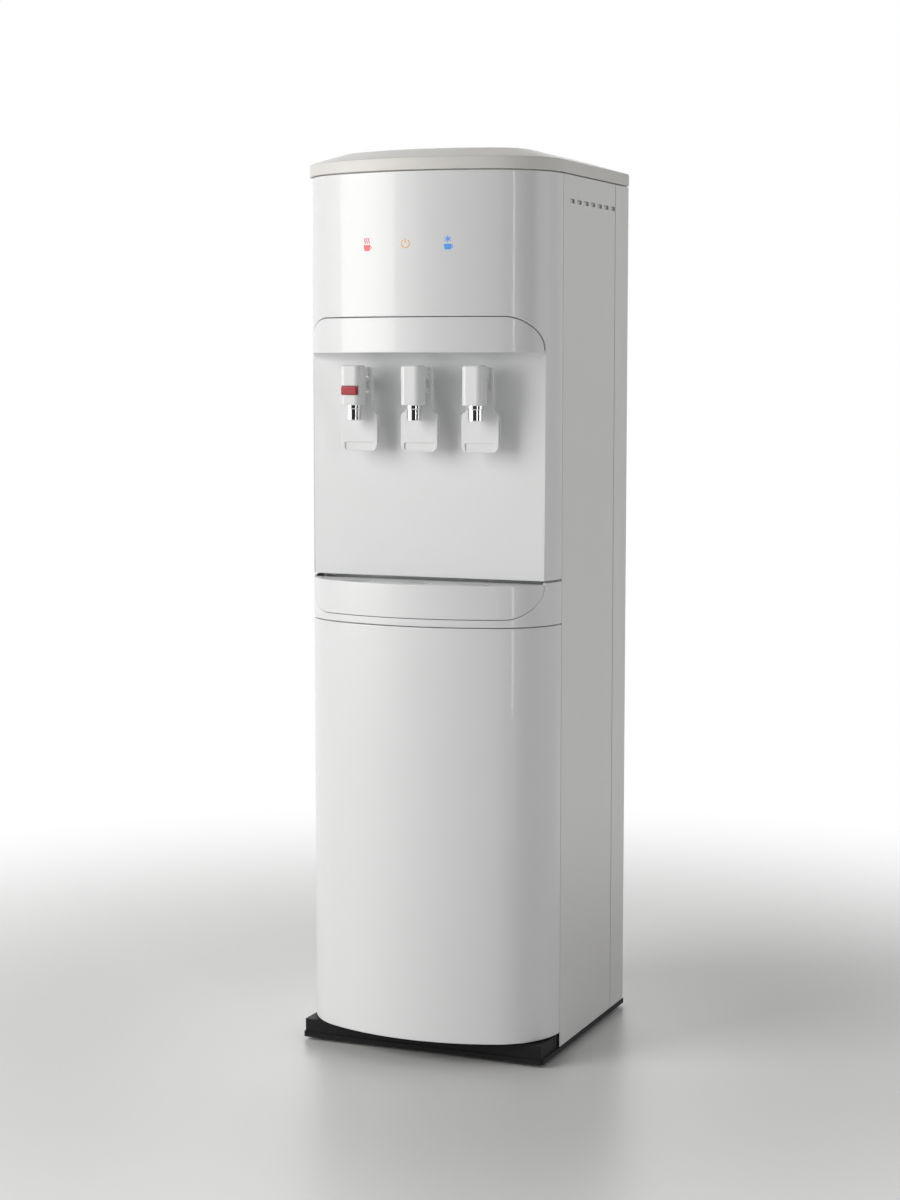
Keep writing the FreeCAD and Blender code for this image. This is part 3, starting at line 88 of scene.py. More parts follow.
# ---- mesh building: places with their own directions, so that shading stays smooth
class Skin:
    def __init__(self):
        self.places, self.directions, self.faces, self.known = [], [], [], {}

    def point(self, place, direction):
        key = (*[round(part * 2e5) for part in place], *[round(part * 200) for part in direction])
        if key not in self.known:
            self.known[key] = len(self.places)
            self.places.append(Vector(place))
            self.directions.append(Vector(direction).normalized())
        return self.known[key]

    def face(self, corners):
        corners = [corner for index, corner in enumerate(corners) if corner not in corners[:index]]
        if len(corners) < 3:
            return
        shape = [self.places[corner] for corner in corners]
        facing = geometry.normal(shape)
        if facing.length < 0.5:
            return
        wanted = sum((self.directions[corner] for corner in corners), Vector())
        self.faces.append(corners if facing.dot(wanted) >= 0 else corners[::-1])

    def grid(self, rows, closed=False):
        marks = [[self.point(*spot) for spot in row] for row in rows]
        for low, high in zip(marks, marks[1:]):
            last = len(low) if closed else len(low) - 1
            for index in range(last):
                after = (index + 1) % len(low)
                self.face([low[index], low[after], high[after], high[index]])

    def fan(self, ring, middle, direction):
        centre = self.point(middle, direction)
        marks = [self.point(place, direction) for place in ring]
        for index, mark in enumerate(marks):
            self.face([mark, marks[(index + 1) % len(marks)], centre])

    def sheet(self, rows, thick):
        # a grid with a back face and closed edges
        back = [[(place - direction * thick, -direction) for place, direction in row]
                for row in rows]
        self.grid(rows)
        self.grid(back)
        for edge in (rows[0], rows[-1], [row[0] for row in rows], [row[-1] for row in rows]):
            for (placeA, outA), (placeB, outB) in zip(edge, edge[1:]):
                along = placeB - placeA
                if along.length < 1e-9:
                    continue
                side = along.cross(outA).normalized()
                middle = rows[len(rows) // 2][len(rows[0]) // 2][0]
                if side.dot(placeA - middle) < 0:
                    side = -side
                self.face([self.point(placeA, side), self.point(placeB, side),
                           self.point(placeB - outB * thick, side),
                           self.point(placeA - outA * thick, side)])


def makePiece(name, skin, body, finish, nodes):
    mesh = bpy.data.meshes.new(name)
    mesh.from_pydata([tuple(place) for place in skin.places], [], skin.faces)
    mesh.polygons.foreach_set("use_smooth", [True] * len(mesh.polygons))
    mesh.normals_split_custom_set_from_vertices([tuple(way) for way in skin.directions])
    mesh.validate()
    piece = bpy.data.objects.new(name, mesh)
    bpy.context.scene.collection.objects.link(piece)
    mesh.materials.append(materials[finish])
    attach(piece, body)
    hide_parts(*nodes)


def rounded(corners, steps=4):
    # a closed loop of (along, height) points from (along, height, radius) corners
    loop = []
    for index, (along, height, radius) in enumerate(corners):
        here = Vector((along, height))
        if radius <= 0:
            loop.append((along, height))
            continue
        before = (Vector(corners[index - 1][:2]) - here).normalized()
        after = (Vector(corners[(index + 1) % len(corners)][:2]) - here).normalized()
        half = before.angle(after) / 2
        centre = here + (before + after).normalized() * (radius / math.sin(half))
        start = here + before * (radius / math.tan(half)) - centre
        end = here + after * (radius / math.tan(half)) - centre
        first = math.atan2(start.y, start.x)
        sweep = (math.atan2(end.y, end.x) - first + math.pi) % (2 * math.pi) - math.pi
        for step in range(steps + 1):
            angle = first + sweep * step / steps
            loop.append((centre.x + radius * math.cos(angle), centre.y + radius * math.sin(angle)))
    return loop


def circleLoop(along, height, radius, steps=28):
    return [(along + radius * math.cos(2 * math.pi * step / steps),
             height + radius * math.sin(2 * math.pi * step / steps)) for step in range(steps)]


def loopArea(loop):
    return sum(a[0] * b[1] - b[0] * a[1] for a, b in zip(loop, loop[1:] + loop[:1])) / 2


def outwards(loop):
    # the mitred direction away from the material at each point
    ways = []
    for index, point in enumerate(loop):
        before = Vector(point) - Vector(loop[index - 1])
        after = Vector(loop[(index + 1) % len(loop)]) - Vector(point)
        sideA = Vector((before.y, -before.x)).normalized()
        sideB = Vector((after.y, -after.x)).normalized()
        middle = (sideA + sideB).normalized()
        ways.append(middle / max(middle.dot(sideB), 0.35))
    return ways


def splitLoop(loop, rulings):
    result = []
    for start, end in zip(loop, loop[1:] + loop[:1]):
        result.append(start)
        run = end[0] - start[0]
        if abs(run) < 1e-6:
            continue
        shares = sorted((ruling - start[0]) / run for ruling in rulings)
        result += [(start[0] + run * share, start[1] + (end[1] - start[1]) * share)
                   for share in shares if 0.001 < share < 0.999]
    return result


def isInside(point, loops):
    inside = False
    for loop in loops:
        for (ax, ay), (bx, by) in zip(loop, loop[1:] + loop[:1]):
            if (ay > point[1]) != (by > point[1]):
                if point[0] < ax + (bx - ax) * (point[1] - ay) / (by - ay):
                    inside = not inside
    return inside


def bentPlate(skin, place, loops, rulings, thick, edge, segments=3):
    # a plate that follows a plan line, with rolled edges round its outline and its holes
    def spot(along, height, depth, lean, way):
        across, back, outX, outY = place(along)
        face = Vector((outX, outY, 0))
        tangent = Vector((-outY, outX, 0))
        level = (tangent * way[0] + Vector((0, 0, way[1])))
        level = level.normalized() if level.length else level
        direction = face * math.cos(lean) + level * math.sin(lean)
        return at(across - outX * depth, back - outY * depth, height), direction

    inner = []
    for number, loop in enumerate(loops):
        if (loopArea(loop) > 0) != (number == 0):
            loop = loop[::-1]
        drawn = [tuple(Vector(point) - way * edge) for point, way in zip(loop, outwards(loop))]
        drawn = splitLoop(drawn, rulings)
        inner.append(drawn)
        ways = outwards(drawn)
        rows = []
        for step in range(segments + 1):
            lean = math.pi / 2 * step / segments
            out = edge * math.sin(lean)
            rows.append([spot(point[0] + way.x * out, point[1] + way.y * out,
                              edge * (1 - math.cos(lean)), lean, way)
                         for point, way in zip(drawn, ways)])
        rows.append([spot(point[0] + way.x * edge, point[1] + way.y * edge, thick,
                          math.pi / 2, way) for point, way in zip(drawn, ways)])
        skin.grid(rows, closed=True)
        skin.grid([[spot(point[0] + way.x * edge, point[1] + way.y * edge, thick, math.pi, way)
                    for point, way in zip(drawn, ways)],
                   [spot(*point, thick, math.pi, way) for point, way in zip(drawn, ways)]],
                  closed=True)
    coords, edges = [], []
    for loop in inner:
        first = len(coords)
        coords += [Vector(point) for point in loop]
        edges += [(first + index, first + (index + 1) % len(loop)) for index in range(len(loop))]
    low = min(point[1] for point in inner[0])
    high = max(point[1] for point in inner[0])
    left = min(point[0] for point in inner[0])
    right = max(point[0] for point in inner[0])
    for ruling in rulings:
        if left + 0.01 < ruling < right - 0.01:
            edges.append((len(coords), len(coords) + 1))
            coords += [Vector((ruling, low)), Vector((ruling, high))]
    spots, _, cells, *_ = geometry.delaunay_2d_cdt(coords, edges, [], 0, 1e-4)
    for cell in cells:
        middle = sum((spots[corner] for corner in cell), Vector((0, 0))) / len(cell)
        if isInside(middle, inner):
            for depth, lean in ((0, 0), (thick, math.pi)):
                skin.face([skin.point(*spot(*spots[corner], depth, lean, (0, 0)))
                           for corner in cell])


def roundedBox(left, front, right, back, radius, steps=5):
    # plan rings of a box with rounded corners; a ring is (across, depth, outX, outY) points
    def ring(inset):
        corner = max(radius - inset, 0.02)
        points = []
        for quarter, (x, y) in enumerate(((right, back), (left, back), (left, front),
                                          (right, front))):
            centreX = x - math.copysign(inset + corner, x - (left + right) / 2)
            centreY = y - math.copysign(inset + corner, y - (front + back) / 2)
            for step in range(steps + 1):
                angle = math.pi / 2 * (quarter + step / steps)
                points.append((centreX + corner * math.cos(angle),
                               centreY + corner * math.sin(angle),
                               math.cos(angle), math.sin(angle)))
        return points
    return ring


def roundPlan(across, depth, radius, steps=32):
    def ring(inset):
        return [(across + (radius - inset) * math.cos(2 * math.pi * step / steps),
                 depth + (radius - inset) * math.sin(2 * math.pi * step / steps),
                 math.cos(2 * math.pi * step / steps), math.sin(2 * math.pi * step / steps))
                for step in range(steps)]
    return ring


def upright(a, b, c):
    return Vector((a, b - plan["middle"], c)) / 1000


def facing(a, b, c):
    # for pieces stacked from the back towards the front: a across, b height, c forward
    return Vector((a, -c - plan["middle"], b)) / 1000


def stack(skin, ring, profile, turn=upright, capLow=True, capHigh=True):
    # rings of a plan piled up a profile of (inset, level, lean) places; lean 90 looks up
    origin = turn(0, 0, 0)

    def way(x, y, z):
        return (turn(x, y, z) - origin) * 1000

    rows = []
    for inset, level, lean in profile:
        lean = math.radians(lean)
        rows.append([(turn(x, y, level), way(outX * math.cos(lean), outY * math.cos(lean),
                                             math.sin(lean)))
                     for x, y, outX, outY in ring(inset)])
    skin.grid(rows, closed=True)
    for wanted, row, level, sign in ((capLow, rows[0], profile[0][1], -1),
                                     (capHigh, rows[-1], profile[-1][1], 1)):
        if wanted:
            places = [spot[0] for spot in row]
            middle = sum(places, Vector()) / len(places)
            skin.fan(places, middle, way(0, 0, sign))


def rolled(low, high, radiusLow, radiusHigh, steps=4, inset=0):
    # the profile of an upright wall whose ends are rounded
    profile = []
    for step in range(steps + 1):
        turn = math.pi / 2 * step / steps
        profile.append((inset + radiusLow * (1 - math.sin(turn)),
                        low + radiusLow * (1 - math.cos(turn)), math.degrees(turn) - 90))
    for step in range(steps + 1):
        turn = math.pi / 2 * step / steps
        profile.append((inset + radiusHigh * (1 - math.cos(turn)),
                        high - radiusHigh * (1 - math.sin(turn)), math.degrees(turn)))
    return profile

# ---- camera, lamps and floor: the photograph's view, in metres and degrees
cameraSettings = {"place": (1.0757, -2.6096, 0.8138), "turn": 22.77, "lookDown": 5.76, "lens": 69.8}
lampSettings = {
    "key": {"place": (-2.2, -2.2, 1.5), "size": (1.9, 2.6), "power": 74, "tint": (1.0, 0.99, 0.97)},
    "strip": {"place": (2.2, -1.95, 0.75), "size": (0.14, 2.6), "power": 11, "tint": (1, 1, 1)},
    "side": {"place": (2.9, 0.6, 1.3), "size": (1.4, 2.2), "power": 7, "tint": (1, 0.98, 0.95)},
    "rear": {"place": (-1.2, 2.6, 1.8), "size": (1.5, 1.5), "power": 12, "tint": (1, 1, 1)},
}
roomSettings = {"floorColour": (0.8, 0.8, 0.79, 1), "worldLight": 0.17, "floorRadius": 9.0,
                "fadeFrom": 0.35, "fadeTo": 1.5}
cardSettings = {"radius": 4.2, "from": -14, "to": 84, "low": 0.2, "high": 2.6}


def makeCamera(settings):
    camera = bpy.data.cameras.new("photoCamera")
    camera.lens = settings["lens"]
    camera.sensor_width = 36
    holder = bpy.data.objects.new("photoCamera", camera)
    holder.location = settings["place"]
    holder.rotation_euler = (math.radians(90 - settings["lookDown"]), 0,
                             math.radians(settings["turn"]))
    bpy.context.scene.collection.objects.link(holder)
    bpy.context.scene.camera = holder


def makeLamp(name, settings):
    light = bpy.data.lights.new(name, "AREA")
    light.shape = "RECTANGLE"
    light.size, light.size_y = settings["size"]
    light.energy = settings["power"]
    light.color = settings["tint"]
    lamp = bpy.data.objects.new(name, light)
    lamp.location = settings["place"]
    aim = Vector((0, 0, 0.6)) - lamp.location
    lamp.rotation_euler = aim.to_track_quat("-Z", "Y").to_euler()
    bpy.context.scene.collection.objects.link(lamp)


def seenWhite(tree, light):
    # full strength where the camera, a reflection or a pane looks, and the room's light elsewhere
    path = tree.nodes.new("ShaderNodeLightPath")
    seen = path.outputs["Is Camera Ray"]
    for kind in ("Is Glossy Ray", "Is Transmission Ray"):
        either = tree.nodes.new("ShaderNodeMath")
        either.operation = "MAXIMUM"
        tree.links.new(seen, either.inputs[0])
        tree.links.new(path.outputs[kind], either.inputs[1])
        seen = either.outputs[0]
    scale = tree.nodes.new("ShaderNodeMapRange")
    scale.inputs["To Min"].default_value = light
    scale.inputs["To Max"].default_value = 1.0
    tree.links.new(seen, scale.inputs["Value"])
    return scale.outputs[0]


def makeRoom(settings):
    world = bpy.data.worlds.new("paleRoom")
    bpy.context.scene.world = world
    world.use_nodes = True
    tree = world.node_tree
    background = tree.nodes["Background"]
    background.inputs["Color"].default_value = (1, 1, 1, 1)
    tree.links.new(seenWhite(tree, settings["worldLight"]), background.inputs["Strength"])
    bpy.ops.mesh.primitive_circle_add(vertices=96, radius=settings["floorRadius"],
                                      fill_type="NGON")
    floor = bpy.context.object
    floor.name = "floor"
    material = bpy.data.materials.new("paleFloor")
    material.use_nodes = True
    tree = material.node_tree
    shader = tree.nodes["Principled BSDF"]
    shader.inputs["Base Color"].default_value = settings["floorColour"]
    shader.inputs["Roughness"].default_value = 0.35
    # away from the cooler the floor melts into the white behind it
    place = tree.nodes.new("ShaderNodeNewGeometry")
    reach = tree.nodes.new("ShaderNodeVectorMath")
    reach.operation = "LENGTH"
    tree.links.new(place.outputs["Position"], reach.inputs[0])
    fade = tree.nodes.new("ShaderNodeMapRange")
    fade.interpolation_type = "SMOOTHSTEP"
    fade.inputs["From Min"].default_value = settings["fadeFrom"]
    fade.inputs["From Max"].default_value = settings["fadeTo"]
    tree.links.new(reach.outputs["Value"], fade.inputs["Value"])
    glow = tree.nodes.new("ShaderNodeEmission")
    share = tree.nodes.new("ShaderNodeMath")
    share.operation = "MULTIPLY"
    tree.links.new(fade.outputs[0], share.inputs[0])
    tree.links.new(seenWhite(tree, 0), share.inputs[1])
    blend = tree.nodes.new("ShaderNodeMixShader")
    tree.links.new(share.outputs[0], blend.inputs[0])
    tree.links.new(shader.outputs[0], blend.inputs[1])
    tree.links.new(glow.outputs[0], blend.inputs[2])
    tree.links.new(blend.outputs[0], tree.nodes["Material Output"].inputs["Surface"])
    floor.data.materials.append(material)


def makeCard(settings):
    # the dark side of the room behind the camera, which only reflections see
    rows = []
    for level in (settings["low"], settings["high"]):
        turns = [math.radians(settings["from"] + (settings["to"] - settings["from"]) * step / 24)
                 for step in range(25)]
        rows += [(settings["radius"] * math.sin(turn), -settings["radius"] * math.cos(turn), level)
                 for turn in turns]
    mesh = bpy.data.meshes.new("darkCard")
    mesh.from_pydata(rows, [], [(step, step + 1, step + 26, step + 25) for step in range(24)])
    card = bpy.data.objects.new("darkCard", mesh)
    bpy.context.scene.collection.objects.link(card)
    for kind in ("camera", "diffuse", "transmission", "shadow"):
        setattr(card, "visible_" + kind, False)
    material = bpy.data.materials.new("darkCard")
    material.use_nodes = True
    material.node_tree.nodes["Principled BSDF"].inputs["Base Color"].default_value = (0, 0, 0, 1)
    mesh.materials.append(material)


scene = bpy.context.scene
scene.view_settings.view_transform = "Standard"
makeCamera(cameraSettings)
for lampName, lampValues in lampSettings.items():
    makeLamp(lampName, lampValues)
makeRoom(roomSettings)
makeCard(cardSettings)
print("stage ready")

# ---- finishes
finishes = {
    "white_gloss": {"colour": (0.80, 0.81, 0.815), "rough": 0.34,
        "coat": 0.3, "grain": 300, "bump": 0.02},
    "white_panel": {"colour": (0.76, 0.76, 0.755), "rough": 0.36,
        "coat": 0.1, "grain": 1100, "bump": 0.06},
    "lid_white": {"colour": (0.74, 0.725, 0.70), "rough": 0.45,
        "coat": 0.0, "grain": 600, "bump": 0.05},
    "black_plastic": {"colour": (0.006, 0.006, 0.0065), "rough": 0.6,
        "coat": 0.0, "grain": 900, "bump": 0.12, "shine": 0.22},
    "rubber": {"colour": (0.02, 0.02, 0.02), "rough": 0.8, "coat": 0.0, "grain": 500, "bump": 0.25},
    "zinc_steel": {"colour": (0.62, 0.63, 0.64), "rough": 0.38,
        "coat": 0.0, "grain": 70, "bump": 0.05, "metal": 1},
    "stainless": {"colour": (0.66, 0.66, 0.67), "rough": 0.25,
        "coat": 0.0, "grain": 90, "bump": 0.03, "metal": 1},
    "chrome": {"colour": (0.8, 0.8, 0.81), "rough": 0.05,
        "coat": 0.0, "grain": 40, "bump": 0.0, "metal": 1},
    "black_enamel": {"colour": (0.02, 0.02, 0.022), "rough": 0.28,
        "coat": 0.3, "grain": 300, "bump": 0.08},
    "copper": {"colour": (0.72, 0.36, 0.2), "rough": 0.3,
        "coat": 0.0, "grain": 120, "bump": 0.03, "metal": 1},
    "foam": {"colour": (0.85, 0.85, 0.8), "rough": 0.9, "coat": 0.0, "grain": 220, "bump": 0.6},
    "liner_grey": {"colour": (0.68, 0.69, 0.69), "rough": 0.5,
        "coat": 0.0, "grain": 500, "bump": 0.08},
    "silicone": {"colour": (0.8, 0.81, 0.8), "rough": 0.4, "coat": 0.0, "grain": 150, "bump": 0.02},
    "red": {"colour": (0.42, 0.006, 0.016), "rough": 0.22, "coat": 0.4, "grain": 300, "bump": 0.02},
    "blue": {"colour": (0.03, 0.14, 0.5), "rough": 0.22, "coat": 0.4, "grain": 300, "bump": 0.02},
    "red_light": {"colour": (0.6, 0.02, 0.03), "rough": 0.25,
        "coat": 0.1, "grain": 300, "bump": 0.0, "glow": 0.25},
    "amber_light": {"colour": (0.72, 0.4, 0.12), "rough": 0.25,
        "coat": 0.1, "grain": 300, "bump": 0.0, "glow": 0.3},
    "blue_light": {"colour": (0.1, 0.32, 0.8), "rough": 0.25,
        "coat": 0.1, "grain": 300, "bump": 0.0, "glow": 0.3},
    "board_green": {"colour": (0.02, 0.16, 0.07), "rough": 0.4,
        "coat": 0.2, "grain": 300, "bump": 0.05},
    "spring_steel": {"colour": (0.55, 0.55, 0.56), "rough": 0.3,
        "coat": 0.0, "grain": 90, "bump": 0.02, "metal": 1},
}


def makeFinish(name, look):
    material = bpy.data.materials.new(name)
    material.use_nodes = True
    tree = material.node_tree
    shader = tree.nodes["Principled BSDF"]
    shader.inputs["Metallic"].default_value = look.get("metal", 0)
    shader.inputs["Coat Weight"].default_value = look["coat"]
    shader.inputs["Coat Roughness"].default_value = 0.06
    shader.inputs["Specular IOR Level"].default_value = look.get("shine", 0.5)
    place = tree.nodes.new("ShaderNodeTexCoord")
    cloud = tree.nodes.new("ShaderNodeTexNoise")
    cloud.inputs["Scale"].default_value = 7
    cloud.inputs["Detail"].default_value = 3
    tree.links.new(place.outputs["Object"], cloud.inputs["Vector"])
    tint = tree.nodes.new("ShaderNodeMix")
    tint.data_type = "RGBA"
    colour = look["colour"]
    tint.inputs["A"].default_value = (*[part * 0.985 for part in colour], 1)
    tint.inputs["B"].default_value = (*[min(part * 1.01, 1) for part in colour], 1)
    tree.links.new(cloud.outputs["Fac"], tint.inputs["Factor"])
    tree.links.new(tint.outputs["Result"], shader.inputs["Base Color"])
    rough = tree.nodes.new("ShaderNodeMapRange")
    rough.inputs["To Min"].default_value = look["rough"] * 0.9
    rough.inputs["To Max"].default_value = look["rough"] * 1.1
    tree.links.new(cloud.outputs["Fac"], rough.inputs["Value"])
    tree.links.new(rough.outputs[0], shader.inputs["Roughness"])
    if look["bump"] > 0:
        grain = tree.nodes.new("ShaderNodeTexNoise")
        grain.inputs["Scale"].default_value = look["grain"]
        tree.links.new(place.outputs["Object"], grain.inputs["Vector"])
        bump = tree.nodes.new("ShaderNodeBump")
        bump.inputs["Strength"].default_value = look["bump"]
        bump.inputs["Distance"].default_value = 0.0004  # metres
        tree.links.new(grain.outputs["Fac"], bump.inputs["Height"])
        tree.links.new(bump.outputs["Normal"], shader.inputs["Normal"])
    if "glow" in look:
        shader.inputs["Emission Color"].default_value = (*colour, 1)
        shader.inputs["Emission Strength"].default_value = look["glow"]
    return material


materials = {name: makeFinish(name, look) for name, look in finishes.items()}
slotOf = {row["node"]: row["material_slot"] for row in frame["record"]["subparts"]}
for nodeName, node in frame["nodes"].items():
    for place in node.material_slots:
        place.material = materials[slotOf[nodeName]]
print("finishes on", len(frame["nodes"]), "pieces")

# ---- lid
lidSizes = {"low": 1033, "break": 1047, "top": 1061, "over": 2.5, "inset": 42, "rear": 14}


def softPath(points, steps=6):
    # an open path of (inset, level, radius) corners with its leans
    path = [points[0][:2]]
    for before, here, after in zip(points, points[1:], points[2:]):
        spot = Vector(here[:2])
        back = (Vector(before[:2]) - spot).normalized()
        ahead = (Vector(after[:2]) - spot).normalized()
        half = back.angle(ahead) / 2
        centre = spot + (back + ahead).normalized() * (here[2] / math.sin(half))
        start = spot + back * (here[2] / math.tan(half)) - centre
        end = spot + ahead * (here[2] / math.tan(half)) - centre
        first = math.atan2(start.y, start.x)
        sweep = (math.atan2(end.y, end.x) - first + math.pi) % (2 * math.pi) - math.pi
        path += [(centre.x + here[2] * math.cos(first + sweep * step / steps),
                  centre.y + here[2] * math.sin(first + sweep * step / steps))
                 for step in range(steps + 1)]
    path.append(points[-1][:2])
    leans = []
    for index, spot in enumerate(path):
        before = path[max(index - 1, 0)]
        after = path[min(index + 1, len(path) - 1)]
        leans.append(math.degrees(math.atan2(after[0] - before[0], after[1] - before[1])))
    return [(*spot, lean) for spot, lean in zip(path, leans)]


def lidRing(inset):
    ring = []
    for step in range(-40, 41):
        across, depth, outX, outY = frontPlace(frontLength * step / 40)
        ring.append((across - outX * inset, depth - outY * inset, outX, outY))
    corner = lidSizes["rear"] + inset * 0.1
    for side, first in ((1, 0), (-1, math.pi / 2)):
        for step in range(9):
            angle = first + math.pi / 2 * step / 8
            ring.append((side * (plan["half"] - inset - corner) + corner * math.cos(angle),
                         plan["depth"] - inset - corner + corner * math.sin(angle),
                         math.cos(angle), math.sin(angle)))
    return ring


lid = Skin()
lidProfile = softPath([(4, lidSizes["low"], 0), (-lidSizes["over"], lidSizes["low"], 0.9),
                       (-lidSizes["over"], lidSizes["break"], 2.2),
                       (lidSizes["inset"], lidSizes["top"] - 0.5, 50), (70, lidSizes["top"], 0)])
stack(lid, lidRing, lidProfile, capLow=False)
stack(lid, lidRing, softPath([(4, 1031, 0), (4, 1032.9, 0.2), (4.2, 1033, 0)]), capHigh=False)
makePiece("lid", lid, "cabinet", "lid_white", ["top_cover"])

# ---- bowed front mouldings
bay = {"half": 147, "top": 869, "corner": 36, "header": 828, "wall": 62, "seam": 566, "gap": 0.8,
       "trayLow": 524, "trayTop": 563, "joint": 1.1, "fillet": 10, "sheet": 2.5}
front = {"top": 1032, "wall": 2.8, "doorLow": 28, "doorTop": 514.5, "roll": 1.2}
lamps = {"height": 951, "spread": 50, "proud": 0.25, "thick": 0.6, "edge": 0.12}


def alongLoop(loop):
    return [(frontAlong(across), height, 0) for across, height in loop]


def archPoints(half, low, top, corner):
    return alongLoop(rounded([(half, low, 0), (half, top, corner), (-half, top, corner),
                              (-half, low, 0)], 14))


def cradlePoints(half, low, top, corner):
    return alongLoop(rounded([(half, top, 0), (half, low, corner), (-half, low, corner),
                              (-half, top, 0)], 14))


housing = Skin()
housingLow = bay["seam"] + bay["joint"]
bentPlate(housing, frontPlace,
          [rounded(archPoints(bay["half"], housingLow, bay["top"], bay["corner"])
                   + [(-frontLength, housingLow, 1), (-frontLength, front["top"], 1),
                      (frontLength, front["top"], 1), (frontLength, housingLow, 1)])],
          frontRulings, front["wall"], front["roll"])
makePiece("upperHousing", housing, "cabinet", "white_gloss", ["upper_front_housing"])

panel = Skin()
panelHalf = bay["half"] - bay["gap"]
bentPlate(panel, frontPlace,
          [rounded(archPoints(panelHalf, bay["header"], bay["top"] - bay["gap"],
                              bay["corner"] - bay["gap"]))],
          frontRulings, bay["sheet"], front["roll"])
alcoveRows = []
for step in range(-30, 31):
    across, depth, _, _ = frontPlace(frontAlong(panelHalf) * step / 30)
    depth += front["roll"]
    fillet = max(min(bay["fillet"], bay["wall"] - depth - 0.1), 0.05)
    row = [(at(across, depth, bay["header"]), Vector((0, 0, -1)))]
    for turn in range(9):
        angle = math.pi / 16 * turn
        row.append((at(across, bay["wall"] - fillet * (1 - math.sin(angle)),
                       bay["header"] - fillet * (1 - math.cos(angle))),
                    Vector((0, -math.sin(angle), -math.cos(angle)))))
    row.append((at(across, bay["wall"], housingLow), Vector((0, -1, 0))))
    alcoveRows.append(row)
panel.sheet(alcoveRows, bay["sheet"] / 1000)
makePiece("dispensingPanel", panel, "cabinet", "white_gloss", ["dispensing_panel"])

surround = Skin()
surroundLow = front["doorTop"] + bay["gap"]
surroundTop = bay["seam"] - bay["joint"]
bentPlate(surround, frontPlace,
          [rounded([(-frontLength, surroundLow, 1), (frontLength, surroundLow, 1),
                    (frontLength, surroundTop, 1)]
                   + cradlePoints(bay["half"], bay["trayLow"], surroundTop, bay["corner"])
                   + [(-frontLength, surroundTop, 1)])],
          frontRulings, front["wall"], front["roll"])
shelfTop = bay["trayLow"] - front["wall"]


def shelfRing(inset):
    ring = []
    for step in range(-30, 31):
        across, depth, outX, outY = frontPlace(frontLength * step / 30)
        ring.append((across - outX * (2.3 + inset), depth - outY * (2.3 + inset), outX, outY))
    return ring


def block(skin, low, high, radius, turn=upright):
    # a box between two corners with rounded edges
    stack(skin, roundedBox(low[0], low[1], high[0], high[1], radius, 3),
          rolled(low[2], high[2], radius * 0.8, radius * 0.8, 3), turn)


stack(surround, shelfRing, [(0, shelfTop - 2.5, 0), (0, shelfTop, 0)])
block(surround, (-panelHalf + 1, bay["wall"], shelfTop - 1),
      (panelHalf - 1, bay["wall"] + bay["sheet"], bay["trayTop"]), 0.4)
stack(surround, roundPlan(-148, 90, 6.4), rolled(front["doorTop"] + 0.3, shelfTop, 0.4, 0.4))
makePiece("traySurround", surround, "cabinet", "white_gloss", ["tray_surround"])

door = Skin()
bentPlate(door, frontPlace,
          [rounded([(-frontLength, front["doorLow"], 1.6), (frontLength, front["doorLow"], 1.6),
                    (frontLength, front["doorTop"], 1.6), (-frontLength, front["doorTop"], 1.6)])],
          frontRulings, front["wall"], 1.6)
for level in (front["doorLow"] + 2, front["doorTop"]):
    rows = []
    for inset in (2.3, 9.8):
        row = []
        for step in range(-40, 41):
            across, depth, outX, outY = frontPlace(frontLength * step / 40)
            row.append((at(across - outX * inset, depth - outY * inset, level),
                        Vector((0, 0, 1))))
        rows.append(row)
    door.sheet(rows, 0.002)
for low in (front["doorLow"], front["doorTop"] - 14):
    stack(door, roundPlan(-148, 90, 6.4), rolled(low, low + 14, 0.4, 0.4))
makePiece("doorShell", door, "door", "white_gloss", ["door_shell"])
print("front mouldings")

# ---- lit marks: a steaming cup, a power sign, and a cup under a snowflake
def stroke(points, width):
    # a line of a given width as a closed loop
    sideA, sideB = [], []
    for index, point in enumerate(points):
        before = Vector(points[max(index - 1, 0)])
        after = Vector(points[min(index + 1, len(points) - 1)])
        along = (after - before).normalized()
        across = Vector((-along.y, along.x)) * width / 2
        sideA.append(tuple(Vector(point) + across))
        sideB.append(tuple(Vector(point) - across))
    return sideA + sideB[::-1]


def cupStrokes(x, y, half, tall):
    bowl = rounded([(x - half, y + tall, 0), (x - half * 0.75, y, 1.2), (x + half * 0.75, y, 1.2),
                    (x + half, y + tall, 0)], 4)
    handle = [(x + half * 0.9 + 1.9 * math.cos(turn), y + tall * 0.55 + 1.7 * math.sin(turn))
              for turn in (math.radians(90 - 30 * step) for step in range(7))]
    return [bowl, stroke(handle, 0.8)]


def hotMark(x, y):
    steam = [stroke([(x + shift + 0.8 * math.sin(step * 1.05), y + 0.8 + step * 0.9)
                     for step in range(8)], 1.1) for shift in (-2.7, 0, 2.7)]
    return cupStrokes(x, y - 7.5, 4.6, 6.8), steam


def coldMark(x, y):
    flake = []
    for arm in range(6):
        turn = math.radians(60 * arm + 30)
        side = Vector((-math.sin(turn), math.cos(turn))) * 0.55
        tip = Vector((math.cos(turn), math.sin(turn))) * 3.9
        notch = Vector((math.cos(turn + math.pi / 6), math.sin(turn + math.pi / 6))) * 1.1
        flake += [tuple(Vector((x, y + 4.3)) + part) for part in (tip - side, tip + side, notch)]
    return cupStrokes(x, y - 7.5, 4.6, 6.2), [flake]


def powerMark(x, y):
    arc = [(x + 4.9 * math.sin(math.radians(turn)), y + 4.9 * math.cos(math.radians(turn)))
           for turn in range(36, 325, 12)]
    return [stroke(arc, 1.2)], [stroke([(x, y + 0.6), (x, y + 5.6)], 1.2)]


def litPlace(along):
    across, depth, outX, outY = frontPlace(along)
    return across + outX * lamps["proud"], depth + outY * lamps["proud"], outX, outY


